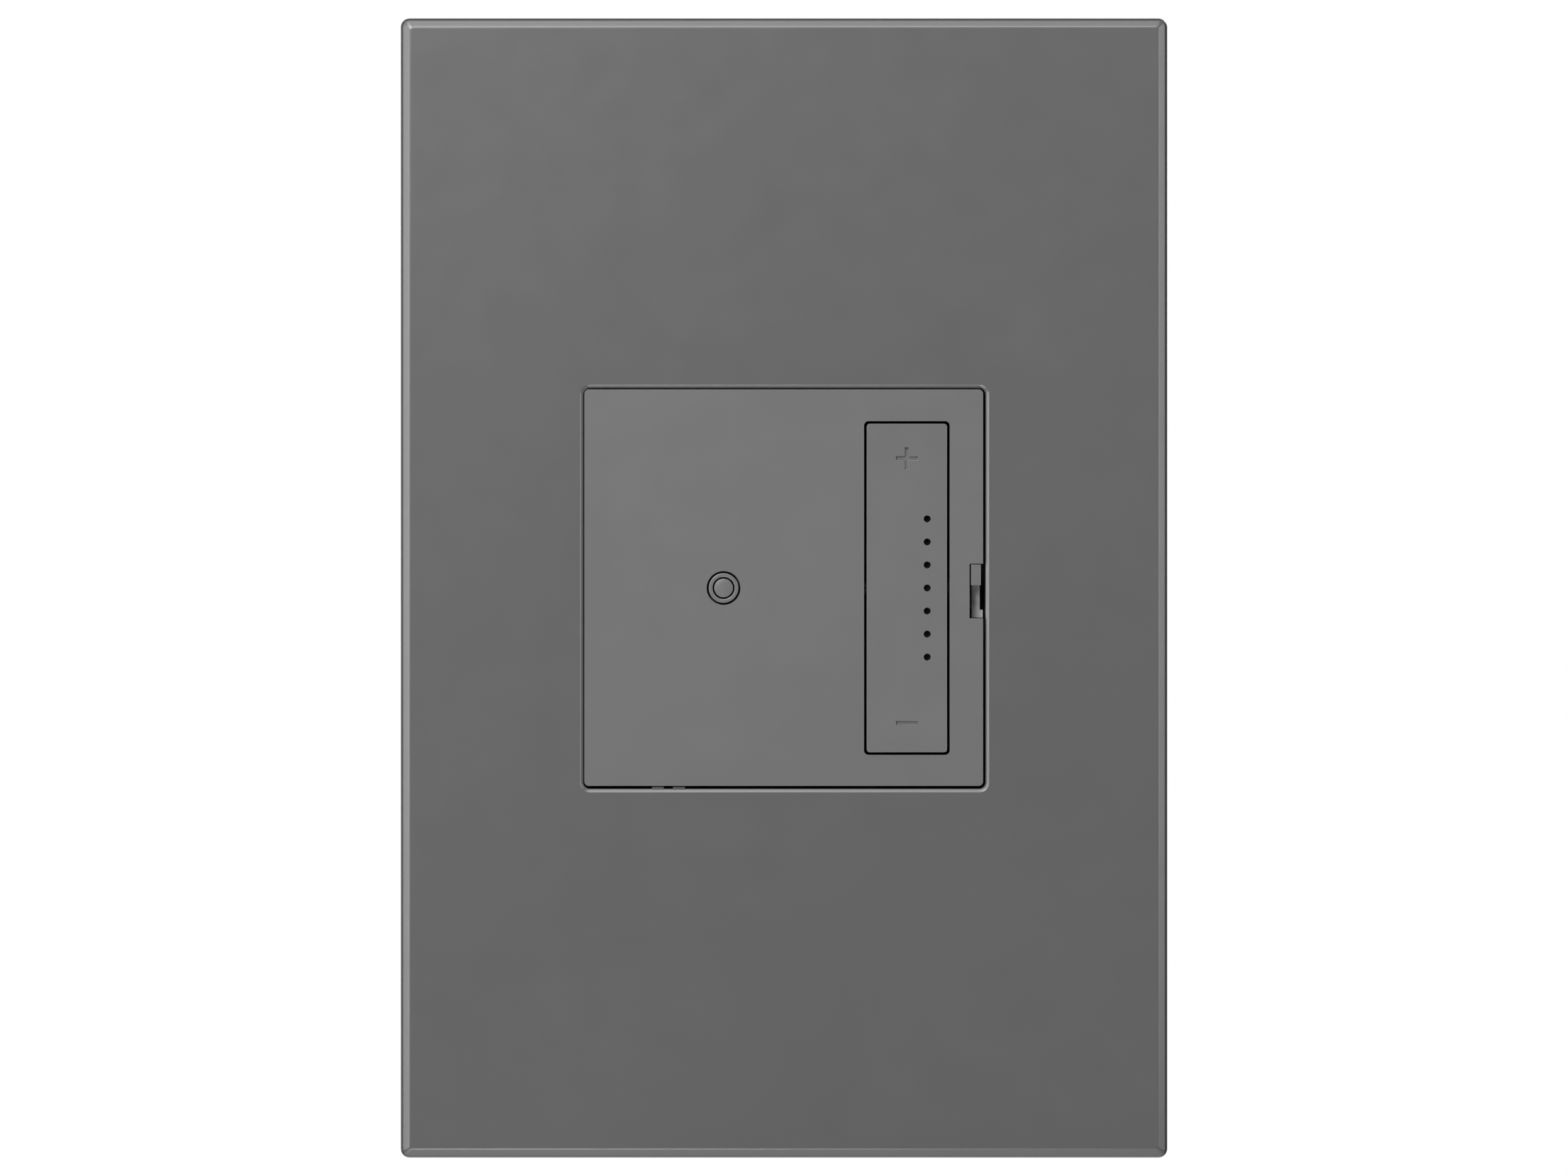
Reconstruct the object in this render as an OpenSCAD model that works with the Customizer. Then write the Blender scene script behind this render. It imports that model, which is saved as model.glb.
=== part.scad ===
// A wall dimmer: a hinged tap plate, a dimming rocker bar and a service slide in a clip-on plate.
// In the modules x is right, y is up and z points out of the wall. upright() then turns the whole
// dimmer so that up is +Z and the wall is on the +Y side. The origin is midway between the two box
// screws, on the plane of the wall.

/* [Wall plate] */
// Width of the wall plate
plate_w = 87.6; // [86:0.1:92]
// Height of the wall plate
plate_h = 130.2; // [126:0.1:134]
// How far the plate's front stands off the wall
plate_front = 9; // [8.8:0.1:9.2]
// Corner radius of the plate, seen from the front
plate_corner_r = 1; // [0.8:0.1:3]
// Thickness of the plate's front wall
plate_wall = 2; // [1.6:0.1:2]
// Thickness of the plate's side walls
plate_skirt = 1.8; // [1.4:0.1:2.2]
// Width of the bevel round the plate's front
plate_bevel_w = 1.2; // [0.5:0.1:1.6]
// Depth of the bevel round the plate's front
plate_bevel_d = 0.8; // [0.4:0.1:1.2]
// Width of the plate's square opening
opening_w = 45.9; // [45.9:0.1:46.2]
// Height of the plate's square opening
opening_h = 45.7; // [45.7:0.1:46]

/* [Tap plate] */
// Width of the tap plate
tap_w = 45.5; // [45:0.1:45.5]
// Height of the tap plate
tap_h = 45.25; // [45:0.05:45.25]
// How far the tap plate's front stands off the wall
tap_front = 9.2; // [9:0.1:9.3]
// Thickness of the tap plate's front wall
tap_wall = 1.6; // [1.4:0.1:1.6]

/* [Rocker bar] */
// Distance of the rocker bar from the middle of the face
rocker_x = 14.02; // [13.9:0.01:14.1]
// Width of the rocker bar
rocker_w = 9.17; // [8.9:0.01:9.3]
// Height of the rocker bar
rocker_h = 37.48; // [37:0.01:37.6]
// Gap all round the rocker bar
rocker_gap = 0.3; // [0.25:0.01:0.35]
// Depth of the dish along the rocker bar's front
rocker_dish = 0.5; // [0.3:0.05:0.6]
// Number of level lights along the rocker bar
level_count = 7; // [5:2:7]
// Spacing of the level lights
level_pitch = 2.63; // [2.4:0.01:2.7]
// Radius of each level light's hole
level_hole_r = 0.4; // [0.35:0.01:0.45]

/* [Locator light] */
// Distance of the locator light left of the middle
locator_x = -6.9; // [-7.5:0.1:-6.5]
// Radius of the hole in the tap plate
locator_hole_r = 1.93; // [1.9:0.01:2]
// Outer radius of the ring
locator_ring_r = 1.75; // [1.7:0.01:1.8]
// Radius of the light cap inside the ring
locator_cap_r = 1.08; // [1:0.01:1.1]

/* [Service slide] */
// How far the service slide travels down
service_travel = 3.4; // [2.8:0.1:3.4]
// Height of the service slide's nub
nub_h = 2.35; // [2:0.05:2.5]

/* [Mounting] */
// Distance between the two box screws
box_screw_spacing = 83.3; // [83:0.1:84]
// Radius of the box screws' shank
box_screw_r = 1.75; // [1.6:0.05:1.8]
// How far the box screws reach behind the wall plane
box_screw_reach = 22; // [16:1:28]
// Size of the square housing that passes through the wall box's opening
body_w = 44.2; // [44:0.1:44.4]
// Depth of the housing behind the wall plane
body_depth = 34; // [34:0.5:38]
// Radius of the wire entry holes
wire_hole_r = 1.25; // [1.1:0.05:1.3]

/* [Hidden] */
$fn = 48;

// Colours
face_grey = [0.36, 0.36, 0.37];
housing_black = [0.07, 0.07, 0.08];
zinc = [0.68, 0.69, 0.70];
steel = [0.55, 0.55, 0.56];
brass = [0.78, 0.62, 0.28];
copper = [0.75, 0.42, 0.24];
board_green = [0.06, 0.32, 0.18];
smoke = [0.03, 0.03, 0.04];

// Clearances
cut = 1;
slide_gap = 0.08;
pin_gap = 0.04;
fixed_gap = 0.02;

// Wall plate
plate_back = 0.2;
plate_inside = plate_front - plate_wall;
opening_r = 0.7;
collar_wall = 1.4;
collar_back = 4.6;
rib_t = 1.2;
rib_back = 5;
rib_rows = [-60, -34, 34, 60];
centring_ribs_x = [-14.4, -12];
centring_rib_w = 1.35;
centring_rib_t = 0.14;
centring_rib_sunk = 0.3;
hook_x = 24;
hook_y = 53;
hook_w = 5;
hook_t = 1.2;
hook_barb = 0.9;
hook_back = 0.35;

// Mounting frame
frame_w = 76;
frame_h = 116;
frame_front = 2.6;
frame_web = 1.4;
frame_back = frame_front - frame_web;
frame_rim = 1.6;
frame_opening = 44.8;
frame_slot_w = 4;
frame_slot_l = 7;
hook_slot = [6.6, 1.8];
ground_x = -12;
ground_y = -27;
ground_z = -5;
tab_w = 10;
tab_t = 1.2;
tab_back = -10;
ground_shank_r = 1.9;
box_neck_r = 1.5;

// Front housing
flange_w = 49;
deck_front = 3.8;
deck_back = frame_front;
housing_wall = 1.4;
split_z = -8;
corner_post_xy = 18.4;
corner_post_r = 2.4;
housing_screw_r = 1.1;
latch_y = 12;
latch_w = 6;
latch_depth = 0.7;

// Tap plate
tap_x = -0.03;
tap_y = 0.04;
tap_r = 0.5;
tap_back = 5.6;
tap_skirt = 1.4;
tap_inside = tap_front - tap_wall;
tap_hinge_y = 19.2;
tap_hinge_z = 5.5;
tap_pin_r = 0.75;
tap_pin_x = [-16, 5];
tap_lug_x = [-14.6, 2.2];
tap_boss_x = [-12.8, 0.4];
lug_w = 1.3;
lug_r = 1.3;
tap_switch_y = -8;
tap_hook_x = [-14, 0];
tap_hook_y = -19.8;
tap_hook_back = 1.6;
tap_spring_x = [-17, 4.5];
tap_spring_y = -16;

// Rocker bar
rocker_r = 0.35;
rocker_back = 5;
rocker_middle = 9.05;
rocker_tip = rocker_middle + rocker_dish;
rocker_roof = 7.4;
rocker_wall = 1.2;
rocker_pivot_z = 5.6;
rocker_pin_r = 0.75;
rocker_post_y = 13;
rocker_dish_r = (pow(rocker_h / 2, 2) + pow(rocker_dish, 2)) / (2 * rocker_dish);
level_x = 16.35;
level_pin_top = 8.5;
plus_y = 14.8;
minus_y = -15.4;
symbol_l = 2.5;
symbol_w = 0.45;
symbol_d = 0.22;

// Switches
post_r = 1;
post_tip = 1;
switch_w = 3.8;
switch_top = 0.5;
switch_cavity_r = 1.6;
plunger_r = 0.8;
plunger_top = post_tip - slide_gap;
plunger_flange_r = 1.3;

// Springs
spring_wire_r = 0.17;
spring_r = 1.6;
spring_turns = 5;
spring_sides = 6;
spring_steps = 12;

// Service slide
notch_x = 21.18;
notch_top = 2.77;
notch_bottom = -3.46;
nub_x = [21.35, 22.47];
nub_top = 2.67;
nub_front = 9.12;
tongue_z = [6.5, 7];
carriage_z = [3.95, 4.7];
leg_x = [20.2, 21.4];
leg_y = [0.6, 2.4];
bridge_z = [-1.7, -1.4];
contact_y = [-1, 2.8];
contact_w = 1.2;
contact_x = [19.9, 21.3];
contact_blade_t = 0.4;

// Boards
control_back = -3.5;
control_front = -1.9;
control_w = 39.2;
control_pins = [[-17.4, -9], [-17.4, 9], [7, -17.4], [7, 17.4]];
control_pin_r = 0.8;
power_back = -16.6;
power_front = -15;
power_w = 40.6;
connector_y = 16;
connector_size = [10, 2.4];

// Heat sink and the switching device on it
sink_back = split_z - 1.5;
pad_t = 0.3;
triac_x = -6;
triac_hole_y = 3;
triac_tab = [10, 15.5, 1.3];
triac_screw_r = 1.5;

// Rear housing
rear_wall = 1.6;
rear_z = -body_depth;
well_r = 2.3;
well_boss_r = 3.4;
well_seat = -13.6;

// Terminals, on the sides of the rear housing: which side, and how high
line_site = [1, 10];
load_site = [-1, 10];
traveller_site = [-1, -10];
terminal_z = -25;
chamber_x = 13.4;
chamber_w = 10.4;
chamber_low = -30.5;
chamber_high = -19.5;
chamber_wall = 1.2;
terminal_screw_r = 1.6;
terminal_plate_x = [15.6, 16.6];
terminal_clamp_x = [18.7, 19.7];
terminal_head_x = 21.9;
terminal_plate_w = 8.4;
terminal_clamp_w = 8;
wire_x = (terminal_plate_x[1] + terminal_clamp_x[0]) / 2;
wire_offset = 2.9;

// Turns the dimmer from its modelling directions to its standing ones
module upright() {
    rotate([90, 0, 0])
        children();
}

// A rectangle with true round corners, centred
module rounded_outline(w, h, r) {
    square([w - 2 * r, h], center = true);
    square([w, h - 2 * r], center = true);
    for (x = [-1, 1], y = [-1, 1])
        translate([x * (w / 2 - r), y * (h / 2 - r)])
            circle(r);
}

// A centred slab with round corners, from z0 to z1
module slab(w, h, r, z0, z1) {
    translate([0, 0, z0])
        linear_extrude(z1 - z0)
            rounded_outline(w, h, r);
}

// A block between two opposite corners
module block(low, high) {
    translate(low)
        cube(high - low);
}

// A round post or hole along z
module post(x, y, r, z0, z1) {
    translate([x, y, z0])
        cylinder(r = r, h = z1 - z0);
}

// A round rod or hole along x
module rod_x(x0, x1, y, z, r) {
    translate([x0, y, z])
        rotate([0, 90, 0])
            cylinder(r = r, h = x1 - x0);
}

// The wedge cut off one long front edge, along x and centred
module bevel_wedge(l, w, d) {
    rotate([90, 0, 90])
        linear_extrude(l, center = true)
            polygon([[cut, cut], [cut, -d * (1 + cut / w)], [-w * (1 + cut / d), cut]]);
}

// One hook of the wall plate: a flat leg with a barb that points away from the middle
module plate_hook(y_side) {
    mirror([0, y_side < 0 ? 1 : 0, 0])
        rotate([90, 0, 90])
            linear_extrude(hook_w, center = true)
                polygon([
                    [hook_y - hook_t / 2, plate_inside], [hook_y - hook_t / 2, hook_back],
                    [hook_y + hook_t / 2 + hook_barb / 3, hook_back],
                    [hook_y + hook_t / 2 + hook_barb, frame_back - slide_gap],
                    [hook_y + hook_t / 2, frame_back - slide_gap],
                    [hook_y + hook_t / 2, plate_inside]
                ]);
}

module wall_plate() {
    color(face_grey) upright() {
        difference() {
            union() {
                difference() {
                    slab(plate_w, plate_h, plate_corner_r, plate_back, plate_front);
                    slab(plate_w - 2 * plate_skirt, plate_h - 2 * plate_skirt, 0.6,
                        plate_back - cut, plate_inside);
                }
                slab(opening_w + 2 * collar_wall, opening_h + 2 * collar_wall, 1.5,
                    collar_back, plate_inside);
                for (y = rib_rows)
                    block([plate_skirt / 2 - plate_w / 2, y - rib_t / 2, rib_back],
                        [plate_w / 2 - plate_skirt / 2, y + rib_t / 2, plate_inside]);
                for (x = [-1, 1], y = [-1, 1])
                    translate([x * hook_x, 0, 0])
                        plate_hook(y);
            }
            slab(opening_w, opening_h, opening_r, plate_back, plate_front + cut);
            for (turn = [0, 180])
                rotate([0, 0, turn]) {
                    translate([0, plate_h / 2, plate_front])
                        bevel_wedge(plate_w + cut, plate_bevel_w, plate_bevel_d);
                    rotate([0, 0, 90])
                        translate([0, plate_w / 2, plate_front])
                            bevel_wedge(plate_h + cut, plate_bevel_w, plate_bevel_d);
                }
        }
        // two small ribs centre the tap plate at the bottom of the opening
        for (x = centring_ribs_x)
            block([x - centring_rib_w / 2, -opening_h / 2 - cut, collar_back],
                [x + centring_rib_w / 2, -opening_h / 2 + centring_rib_t,
                    plate_front - centring_rib_sunk]);
    }
}

module mounting_frame() {
    color(zinc) upright() difference() {
        union() {
            slab(frame_w, frame_h, 4, frame_back, frame_front);
            difference() {
                slab(frame_w, frame_h, 4, 0, frame_front);
                slab(frame_w - 2 * frame_rim, frame_h - 2 * frame_rim, 2.4, -cut, frame_back);
            }
            // pads beside each screw that bear on the wall
            for (x = [-1, 1], y = [-1, 1])
                translate([x * 9.5, y * box_screw_spacing / 2, 0])
                    slab(6, 9, 1, 0, frame_front);
            // ground tab, bent back from the window below it
            block([ground_x - tab_w / 2, ground_y - tab_t, tab_back],
                [ground_x + tab_w / 2, ground_y, frame_front]);
        }
        slab(frame_opening, frame_opening, 1, -cut, frame_front + cut);
        for (y = [-1, 1])
            translate([0, y * box_screw_spacing / 2, 0])
                slab(frame_slot_l, frame_slot_w, frame_slot_w / 2 - 0.01, -cut, frame_front + cut);
        for (x = [-1, 1], y = [-1, 1])
            translate([x * hook_x, y * (hook_y + 0.1), 0])
                block([-hook_slot[0] / 2, -hook_slot[1] / 2, -cut],
                    [hook_slot[0] / 2, hook_slot[1] / 2, frame_front + cut]);
        block([ground_x - tab_w / 2, ground_y - tab_t - 9, -cut],
            [ground_x + tab_w / 2, ground_y - tab_t, frame_front + cut]);
        translate([ground_x, ground_y + cut, ground_z])
            rotate([90, 0, 0])
                cylinder(r = ground_shank_r + fixed_gap, h = tab_t + 2 * cut);
    }
}

// A domed screw head on the plane z = 0, with a cross recess in it
module cross_head(r, h, recess_l, recess_w) {
    difference() {
        intersection() {
            cylinder(r = r, h = h);
            translate([0, 0, h - 1.6 * r])
                sphere(r = 1.6 * r);
        }
        for (turn = [0, 90])
            rotate([0, 0, turn])
                block([-recess_l / 2, -recess_w / 2, h / 2], [recess_l / 2, recess_w / 2, h + cut]);
    }
}

module box_screws() {
    color(steel) upright() {
        for (y = [-1, 1])
            translate([0, y * box_screw_spacing / 2, 0]) {
                translate([0, 0, frame_front])
                    cross_head(3.5, 2, 4, 0.9);
                cylinder(r = box_neck_r, h = frame_front);
                translate([0, 0, -box_screw_reach])
                    cylinder(r = box_screw_r, h = box_screw_reach);
            }
    }
}

module screw_retainers() {
    color([0.75, 0.72, 0.62]) upright() {
        for (y = [-1, 1])
            translate([0, y * box_screw_spacing / 2, 0]) difference() {
                post(0, 0, 4.2, frame_back - 1, frame_back - fixed_gap);
                post(0, 0, box_neck_r + fixed_gap, -cut, frame_front);
            }
    }
}

module ground_screw() {
    color([0.1, 0.45, 0.2]) upright()
        translate([ground_x, ground_y - tab_t - fixed_gap, ground_z])
            rotate([90, 0, 0]) {
                difference() {
                    cylinder(r = 4.2, h = 2.4, $fn = 6);
                    block([-5, -0.5, 1.4], [5, 0.5, 3]);
                }
                translate([0, 0, -4.6])
                    cylinder(r = ground_shank_r, h = 4.6);
            }
}

// One leg of the tap plate that reaches through the deck and catches behind it
module tap_hook(x) {
    translate([x, 0, 0])
        rotate([90, 0, 90])
            linear_extrude(2.4, center = true)
                polygon([
                    [tap_hook_y - 0.5, tap_inside + 0.1], [tap_hook_y - 0.5, tap_hook_back],
                    [tap_hook_y + 0.7, tap_hook_back], [tap_hook_y + 1.3, deck_back - slide_gap],
                    [tap_hook_y + 0.5, deck_back - slide_gap], [tap_hook_y + 0.5, tap_inside + 0.1]
                ]);
}

module tap_plate() {
    color(face_grey) upright() difference() {
        union() {
            translate([tap_x, tap_y, 0]) difference() {
                slab(tap_w, tap_h, tap_r, tap_back, tap_front);
                slab(tap_w - 2 * tap_skirt, tap_h - 2 * tap_skirt, 0.3, tap_back - cut, tap_inside);
            }
            post(locator_x, tap_switch_y, post_r, post_tip, tap_inside + 0.1);
            for (x = tap_boss_x) {
                rod_x(x, x + lug_w, tap_hinge_y, tap_hinge_z, lug_r);
                block([x, tap_hinge_y - lug_r, tap_hinge_z],
                    [x + lug_w, tap_hinge_y + lug_r, tap_inside + 0.1]);
            }
            for (x = tap_hook_x)
                tap_hook(x);
        }
        translate([rocker_x, 0, 0])
            slab(rocker_w + 2 * rocker_gap, rocker_h + 2 * rocker_gap, 0.5,
                tap_back - cut, tap_front + cut);
        post(locator_x, 0, locator_hole_r, tap_back, tap_front + cut);
        block([notch_x, notch_bottom, tap_back - cut], [tap_w, notch_top, tap_front + cut]);
        // room behind the front wall for the slide's tongue when it is down
        block([notch_x, notch_bottom - service_travel - 0.3, tap_back - cut],
            [tap_w, notch_bottom + cut, tap_inside - 0.01]);
        rod_x(tap_pin_x[0], tap_pin_x[1], tap_hinge_y, tap_hinge_z, tap_pin_r + pin_gap);
    }
}

module locator_ring() {
    color(face_grey) upright() difference() {
        union() {
            post(locator_x, 0, locator_ring_r, 6.8, tap_front - 0.08);
            post(locator_x, 0, 3, 6.8, tap_inside - fixed_gap);
        }
        post(locator_x, 0, locator_cap_r + 0.14, 6, tap_front + cut);
    }
}

module locator_cap() {
    color([0.32, 0.32, 0.33]) upright() {
        post(locator_x, 0, locator_cap_r, 6.6, tap_front - 0.12);
        post(locator_x, 0, 2.2, 6, 6.8 - fixed_gap);
    }
}

module tap_hinge_pin() {
    color(steel) upright()
        rod_x(tap_pin_x[0], tap_pin_x[1], tap_hinge_y, tap_hinge_z, tap_pin_r);
}

// A coil spring along z: rings of points carried round the helix, closed at both ends
module coil(x, y, z0, z1) {
    rise = (z1 - z0 - 2 * spring_wire_r) / spring_turns;
    rings = spring_turns * spring_steps;
    points = [
        for (i = [0:rings], k = [0:spring_sides - 1])
            let (a = 360 * i / spring_steps, b = 360 * k / spring_sides,
                r = spring_r + spring_wire_r * cos(b))
            [r * cos(a), r * sin(a),
                z0 + spring_wire_r * (1 + sin(b)) + rise * i / spring_steps]
    ];
    sides = [
        for (i = [0:rings - 1], k = [0:spring_sides - 1])
            let (n = (k + 1) % spring_sides, low = i * spring_sides, high = low + spring_sides)
            [low + k, high + k, high + n, low + n]
    ];
    first = [for (k = [0:spring_sides - 1]) k];
    last = [for (k = [spring_sides - 1:-1:0]) rings * spring_sides + k];
    translate([x, y, 0])
        polyhedron(points, concat([first], sides, [last]));
}

module tap_spring_left() {
    color(steel) upright()
        coil(tap_spring_x[0], tap_spring_y, deck_front + fixed_gap, tap_inside - fixed_gap);
}

module tap_spring_right() {
    color(steel) upright()
        coil(tap_spring_x[1], tap_spring_y, deck_front + fixed_gap, tap_inside - fixed_gap);
}

// Height of the rocker bar's dished front at a distance y from its pivot
function rocker_front(y) = rocker_middle + y * y / (2 * rocker_dish_r);

// One stroke of the plus or minus sign, cut into the rocker bar's front
module stroke(y, w, h) {
    block([rocker_x - w / 2, y - h / 2, rocker_front(y) - symbol_d],
        [rocker_x + w / 2, y + h / 2, rocker_tip + cut]);
}

module rocker_bar() {
    color(face_grey) upright() difference() {
        union() {
            translate([rocker_x, 0, 0]) difference() {
                slab(rocker_w, rocker_h, rocker_r, rocker_back, rocker_tip);
                slab(rocker_w - 2 * rocker_wall, rocker_h - 2 * rocker_wall, 0.2,
                    rocker_back - cut, rocker_roof);
            }
            block([rocker_x - rocker_w / 2 + 0.2, -1.7, rocker_back],
                [rocker_x + rocker_w / 2 - 0.2, 1.7, rocker_roof + 0.1]);
            for (y = [-1, 1])
                post(rocker_x, y * rocker_post_y, post_r, post_tip, rocker_roof + 0.1);
        }
        // the shallow dish, a very large cylinder
        rod_x(rocker_x - rocker_w, rocker_x + rocker_w, 0, rocker_middle + rocker_dish_r,
            rocker_dish_r, $fn = 720);
        rod_x(rocker_x - rocker_w, rocker_x + rocker_w, 0, rocker_pivot_z, rocker_pin_r + pin_gap);
        block([level_x - 0.7, -2, 6.5], [level_x + 0.7, 2, rocker_roof]);
        for (i = [0:level_count - 1])
            post(level_x, (i - (level_count - 1) / 2) * level_pitch, level_hole_r,
                rocker_roof - cut, rocker_tip + cut);
        stroke(plus_y, symbol_l, symbol_w);
        stroke(plus_y, symbol_w, symbol_l);
        stroke(minus_y, symbol_l, symbol_w);
    }
}

module level_lens_strip() {
    color(smoke) upright() {
        block([level_x - 0.6, -level_count * level_pitch / 2, 6.6],
            [level_x + 0.6, level_count * level_pitch / 2, rocker_roof - fixed_gap]);
        for (i = [0:level_count - 1])
            post(level_x, (i - (level_count - 1) / 2) * level_pitch, level_hole_r - fixed_gap,
                rocker_roof - 0.1, level_pin_top);
    }
}

module rocker_pin() {
    color(steel) upright()
        rod_x(rocker_x - rocker_w / 2 - 1.5, rocker_x + rocker_w / 2 + 1.5, 0, rocker_pivot_z,
            rocker_pin_r);
}

module plus_spring() {
    color(steel) upright()
        coil(rocker_x, rocker_post_y, deck_front + fixed_gap, rocker_roof - fixed_gap);
}

module minus_spring() {
    color(steel) upright()
        coil(rocker_x, -rocker_post_y, deck_front + fixed_gap, rocker_roof - fixed_gap);
}

module service_slider() {
    color(face_grey) upright() {
        block([nub_x[0], nub_top - nub_h, carriage_z[0]], [nub_x[1], nub_top, nub_front]);
        block([nub_x[0] + 0.13, notch_bottom + 0.06, tongue_z[0]],
            [nub_x[1] - 0.07, nub_top - cut, tongue_z[1]]);
        block([nub_x[0] + 0.13, notch_bottom + 0.06, tongue_z[0]],
            [nub_x[1] + 0.28, notch_bottom + 0.97, tongue_z[1]]);
        block([leg_x[0], -2.4, carriage_z[0]], [nub_x[1], 4.4, carriage_z[1]]);
        block([leg_x[0], leg_y[0], bridge_z[1]], [leg_x[1], leg_y[1], carriage_z[1]]);
        block([leg_x[0], -0.6, 1.7], [leg_x[1], 3.6, deck_back - 0.15]);
    }
}

module service_bridge() {
    color(copper) upright()
        block([contact_x[0], contact_y[0], bridge_z[0]],
            [contact_x[1], contact_y[1] + contact_w, bridge_z[1] - fixed_gap]);
}

// Two fixed contacts; the bridge joins them, and leaves the upper one when the slide is down
module service_contacts() {
    color(brass) upright() {
        for (y = contact_y) {
            block([contact_x[0], y, bridge_z[0] - 0.4],
                [contact_x[1], y + contact_w, bridge_z[0] - slide_gap]);
            block([contact_x[0], y + 0.3, power_front],
                [contact_x[0] + contact_blade_t, y + 0.9, bridge_z[0] - 0.3]);
        }
    }
}

// An upright lug on the deck that carries one end of a pin
module deck_lug(x, y, z) {
    rod_x(x, x + lug_w, y, z, lug_r);
    block([x, y - lug_r, deck_front - 0.1], [x + lug_w, y + lug_r, z]);
}

// A wedge on the housing's side that snaps behind the mounting frame
module frame_latch() {
    translate([body_w / 2 - 0.1, latch_y, 0])
        rotate([90, 0, 0])
            linear_extrude(latch_w, center = true)
                polygon([
                    [0, frame_back - slide_gap], [latch_depth + 0.1, frame_back - slide_gap],
                    [latch_depth + 0.1, 0.5], [0, -1.4]
                ]);
}

module front_housing() {
    color(housing_black) upright() difference() {
        union() {
            slab(flange_w, flange_w, 1, deck_back, deck_front);
            difference() {
                slab(body_w, body_w, 1, split_z, deck_front);
                slab(body_w - 2 * housing_wall, body_w - 2 * housing_wall, 0.4,
                    split_z - cut, deck_back);
            }
            for (x = [-1, 1], y = [-1, 1])
                post(x * corner_post_xy, y * corner_post_xy, corner_post_r, split_z, deck_front);
            for (p = control_pins) {
                post(p[0], p[1], 1.5, control_front, deck_front);
                post(p[0], p[1], control_pin_r, control_back - 0.5, deck_front);
            }
            for (x = tap_lug_x)
                deck_lug(x, tap_hinge_y, tap_hinge_z);
            deck_lug(rocker_x - rocker_w / 2 - lug_w - 0.12, 0, rocker_pivot_z);
            deck_lug(rocker_x + rocker_w / 2 + 0.12, 0, rocker_pivot_z);
            for (x = [0, 1], y = [0, 1])
                mirror([x, 0, 0])
                    mirror([0, y, 0])
                        frame_latch();
        }
        for (x = [-1, 1], y = [-1, 1])
            post(x * corner_post_xy, y * corner_post_xy, housing_screw_r + fixed_gap,
                split_z - cut, -3);
        rod_x(tap_pin_x[0], tap_pin_x[1], tap_hinge_y, tap_hinge_z, tap_pin_r + fixed_gap);
        rod_x(rocker_x - rocker_w, rocker_x + rocker_w, 0, rocker_pivot_z, rocker_pin_r + fixed_gap);
        // ways through the deck for the switch posts and the lights
        post(locator_x, tap_switch_y, post_r + 0.5, deck_back - cut, deck_front + cut);
        post(locator_x, 0, 2.2, deck_back - cut, deck_front + cut);
        for (y = [-1, 1])
            post(rocker_x, y * rocker_post_y, post_r + 0.4, deck_back - cut, deck_front + cut);
        block([level_x - 1, -9.6, deck_back - cut], [level_x + 1, 9.6, deck_front + cut]);
        for (x = tap_hook_x)
            block([x - 1.6, tap_hook_y - 0.7, deck_back - cut],
                [x + 1.6, tap_hook_y + 0.8, deck_front + cut]);
        // the slide's slot in the deck, and its pocket in the side wall
        block([leg_x[0] - 0.1, leg_y[0] - service_travel - 0.2, deck_back - cut],
            [leg_x[1] + 0.1, leg_y[1] + 0.2, deck_front + cut]);
        block([contact_x[0] - 0.4, -8, split_z - cut], [21.6, 6, deck_back]);
    }
}

module control_board() {
    color(board_green) upright() difference() {
        slab(control_w, control_w, 1, control_back, control_front);
        for (x = [-1, 1], y = [-1, 1])
            post(x * corner_post_xy, y * corner_post_xy, corner_post_r + 0.3,
                control_back - cut, control_front + cut);
        for (p = control_pins)
            post(p[0], p[1], control_pin_r + 0.1, control_back - cut, control_front + cut);
    }
}

// A push switch on the control board, with a stepped hole for its plunger
module switch_body(x, y) {
    color([0.12, 0.12, 0.13]) upright() translate([x, y, 0]) difference() {
        block([-switch_w / 2, -switch_w / 2, control_front], [switch_w / 2, switch_w / 2, switch_top]);
        post(0, 0, switch_cavity_r, control_front - cut, switch_top - 0.4);
        post(0, 0, plunger_r + slide_gap, control_front - cut, switch_top + cut);
    }
}

module tap_switch_body() { switch_body(locator_x, tap_switch_y); }
module plus_switch_body() { switch_body(rocker_x, rocker_post_y); }
module minus_switch_body() { switch_body(rocker_x, -rocker_post_y); }

// The moving button of a push switch
module plunger(x, y) {
    color([0.8, 0.8, 0.78]) upright() translate([x, y, 0]) {
        post(0, 0, plunger_r, control_front + 0.7, plunger_top);
        post(0, 0, plunger_flange_r, control_front + 0.7, control_front + 1);
    }
}

module tap_switch_plunger() { plunger(locator_x, tap_switch_y); }
module plus_switch_plunger() { plunger(rocker_x, rocker_post_y); }
module minus_switch_plunger() { plunger(rocker_x, -rocker_post_y); }

module level_leds() {
    color([0.9, 0.9, 0.8]) upright() {
        for (i = [0:level_count - 1])
            translate([level_x, (i - (level_count - 1) / 2) * level_pitch, 0])
                block([-0.8, -0.4, control_front], [0.8, 0.4, control_front + 0.6]);
    }
}

module locator_led() {
    color([0.9, 0.9, 0.8]) upright()
        block([locator_x - 0.8, -0.6, control_front], [locator_x + 0.8, 0.6, control_front + 0.9]);
}

module controller_chip() {
    color([0.08, 0.08, 0.09]) upright()
        block([0.5, -9.5, control_back - 1.4], [7.5, -2.5, control_back]);
}

module board_connector() {
    color([0.1, 0.1, 0.1]) upright()
        block([-connector_size[0] / 2, connector_y - connector_size[1] / 2, power_front],
            [connector_size[0] / 2, connector_y + connector_size[1] / 2, control_back]);
}

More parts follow.
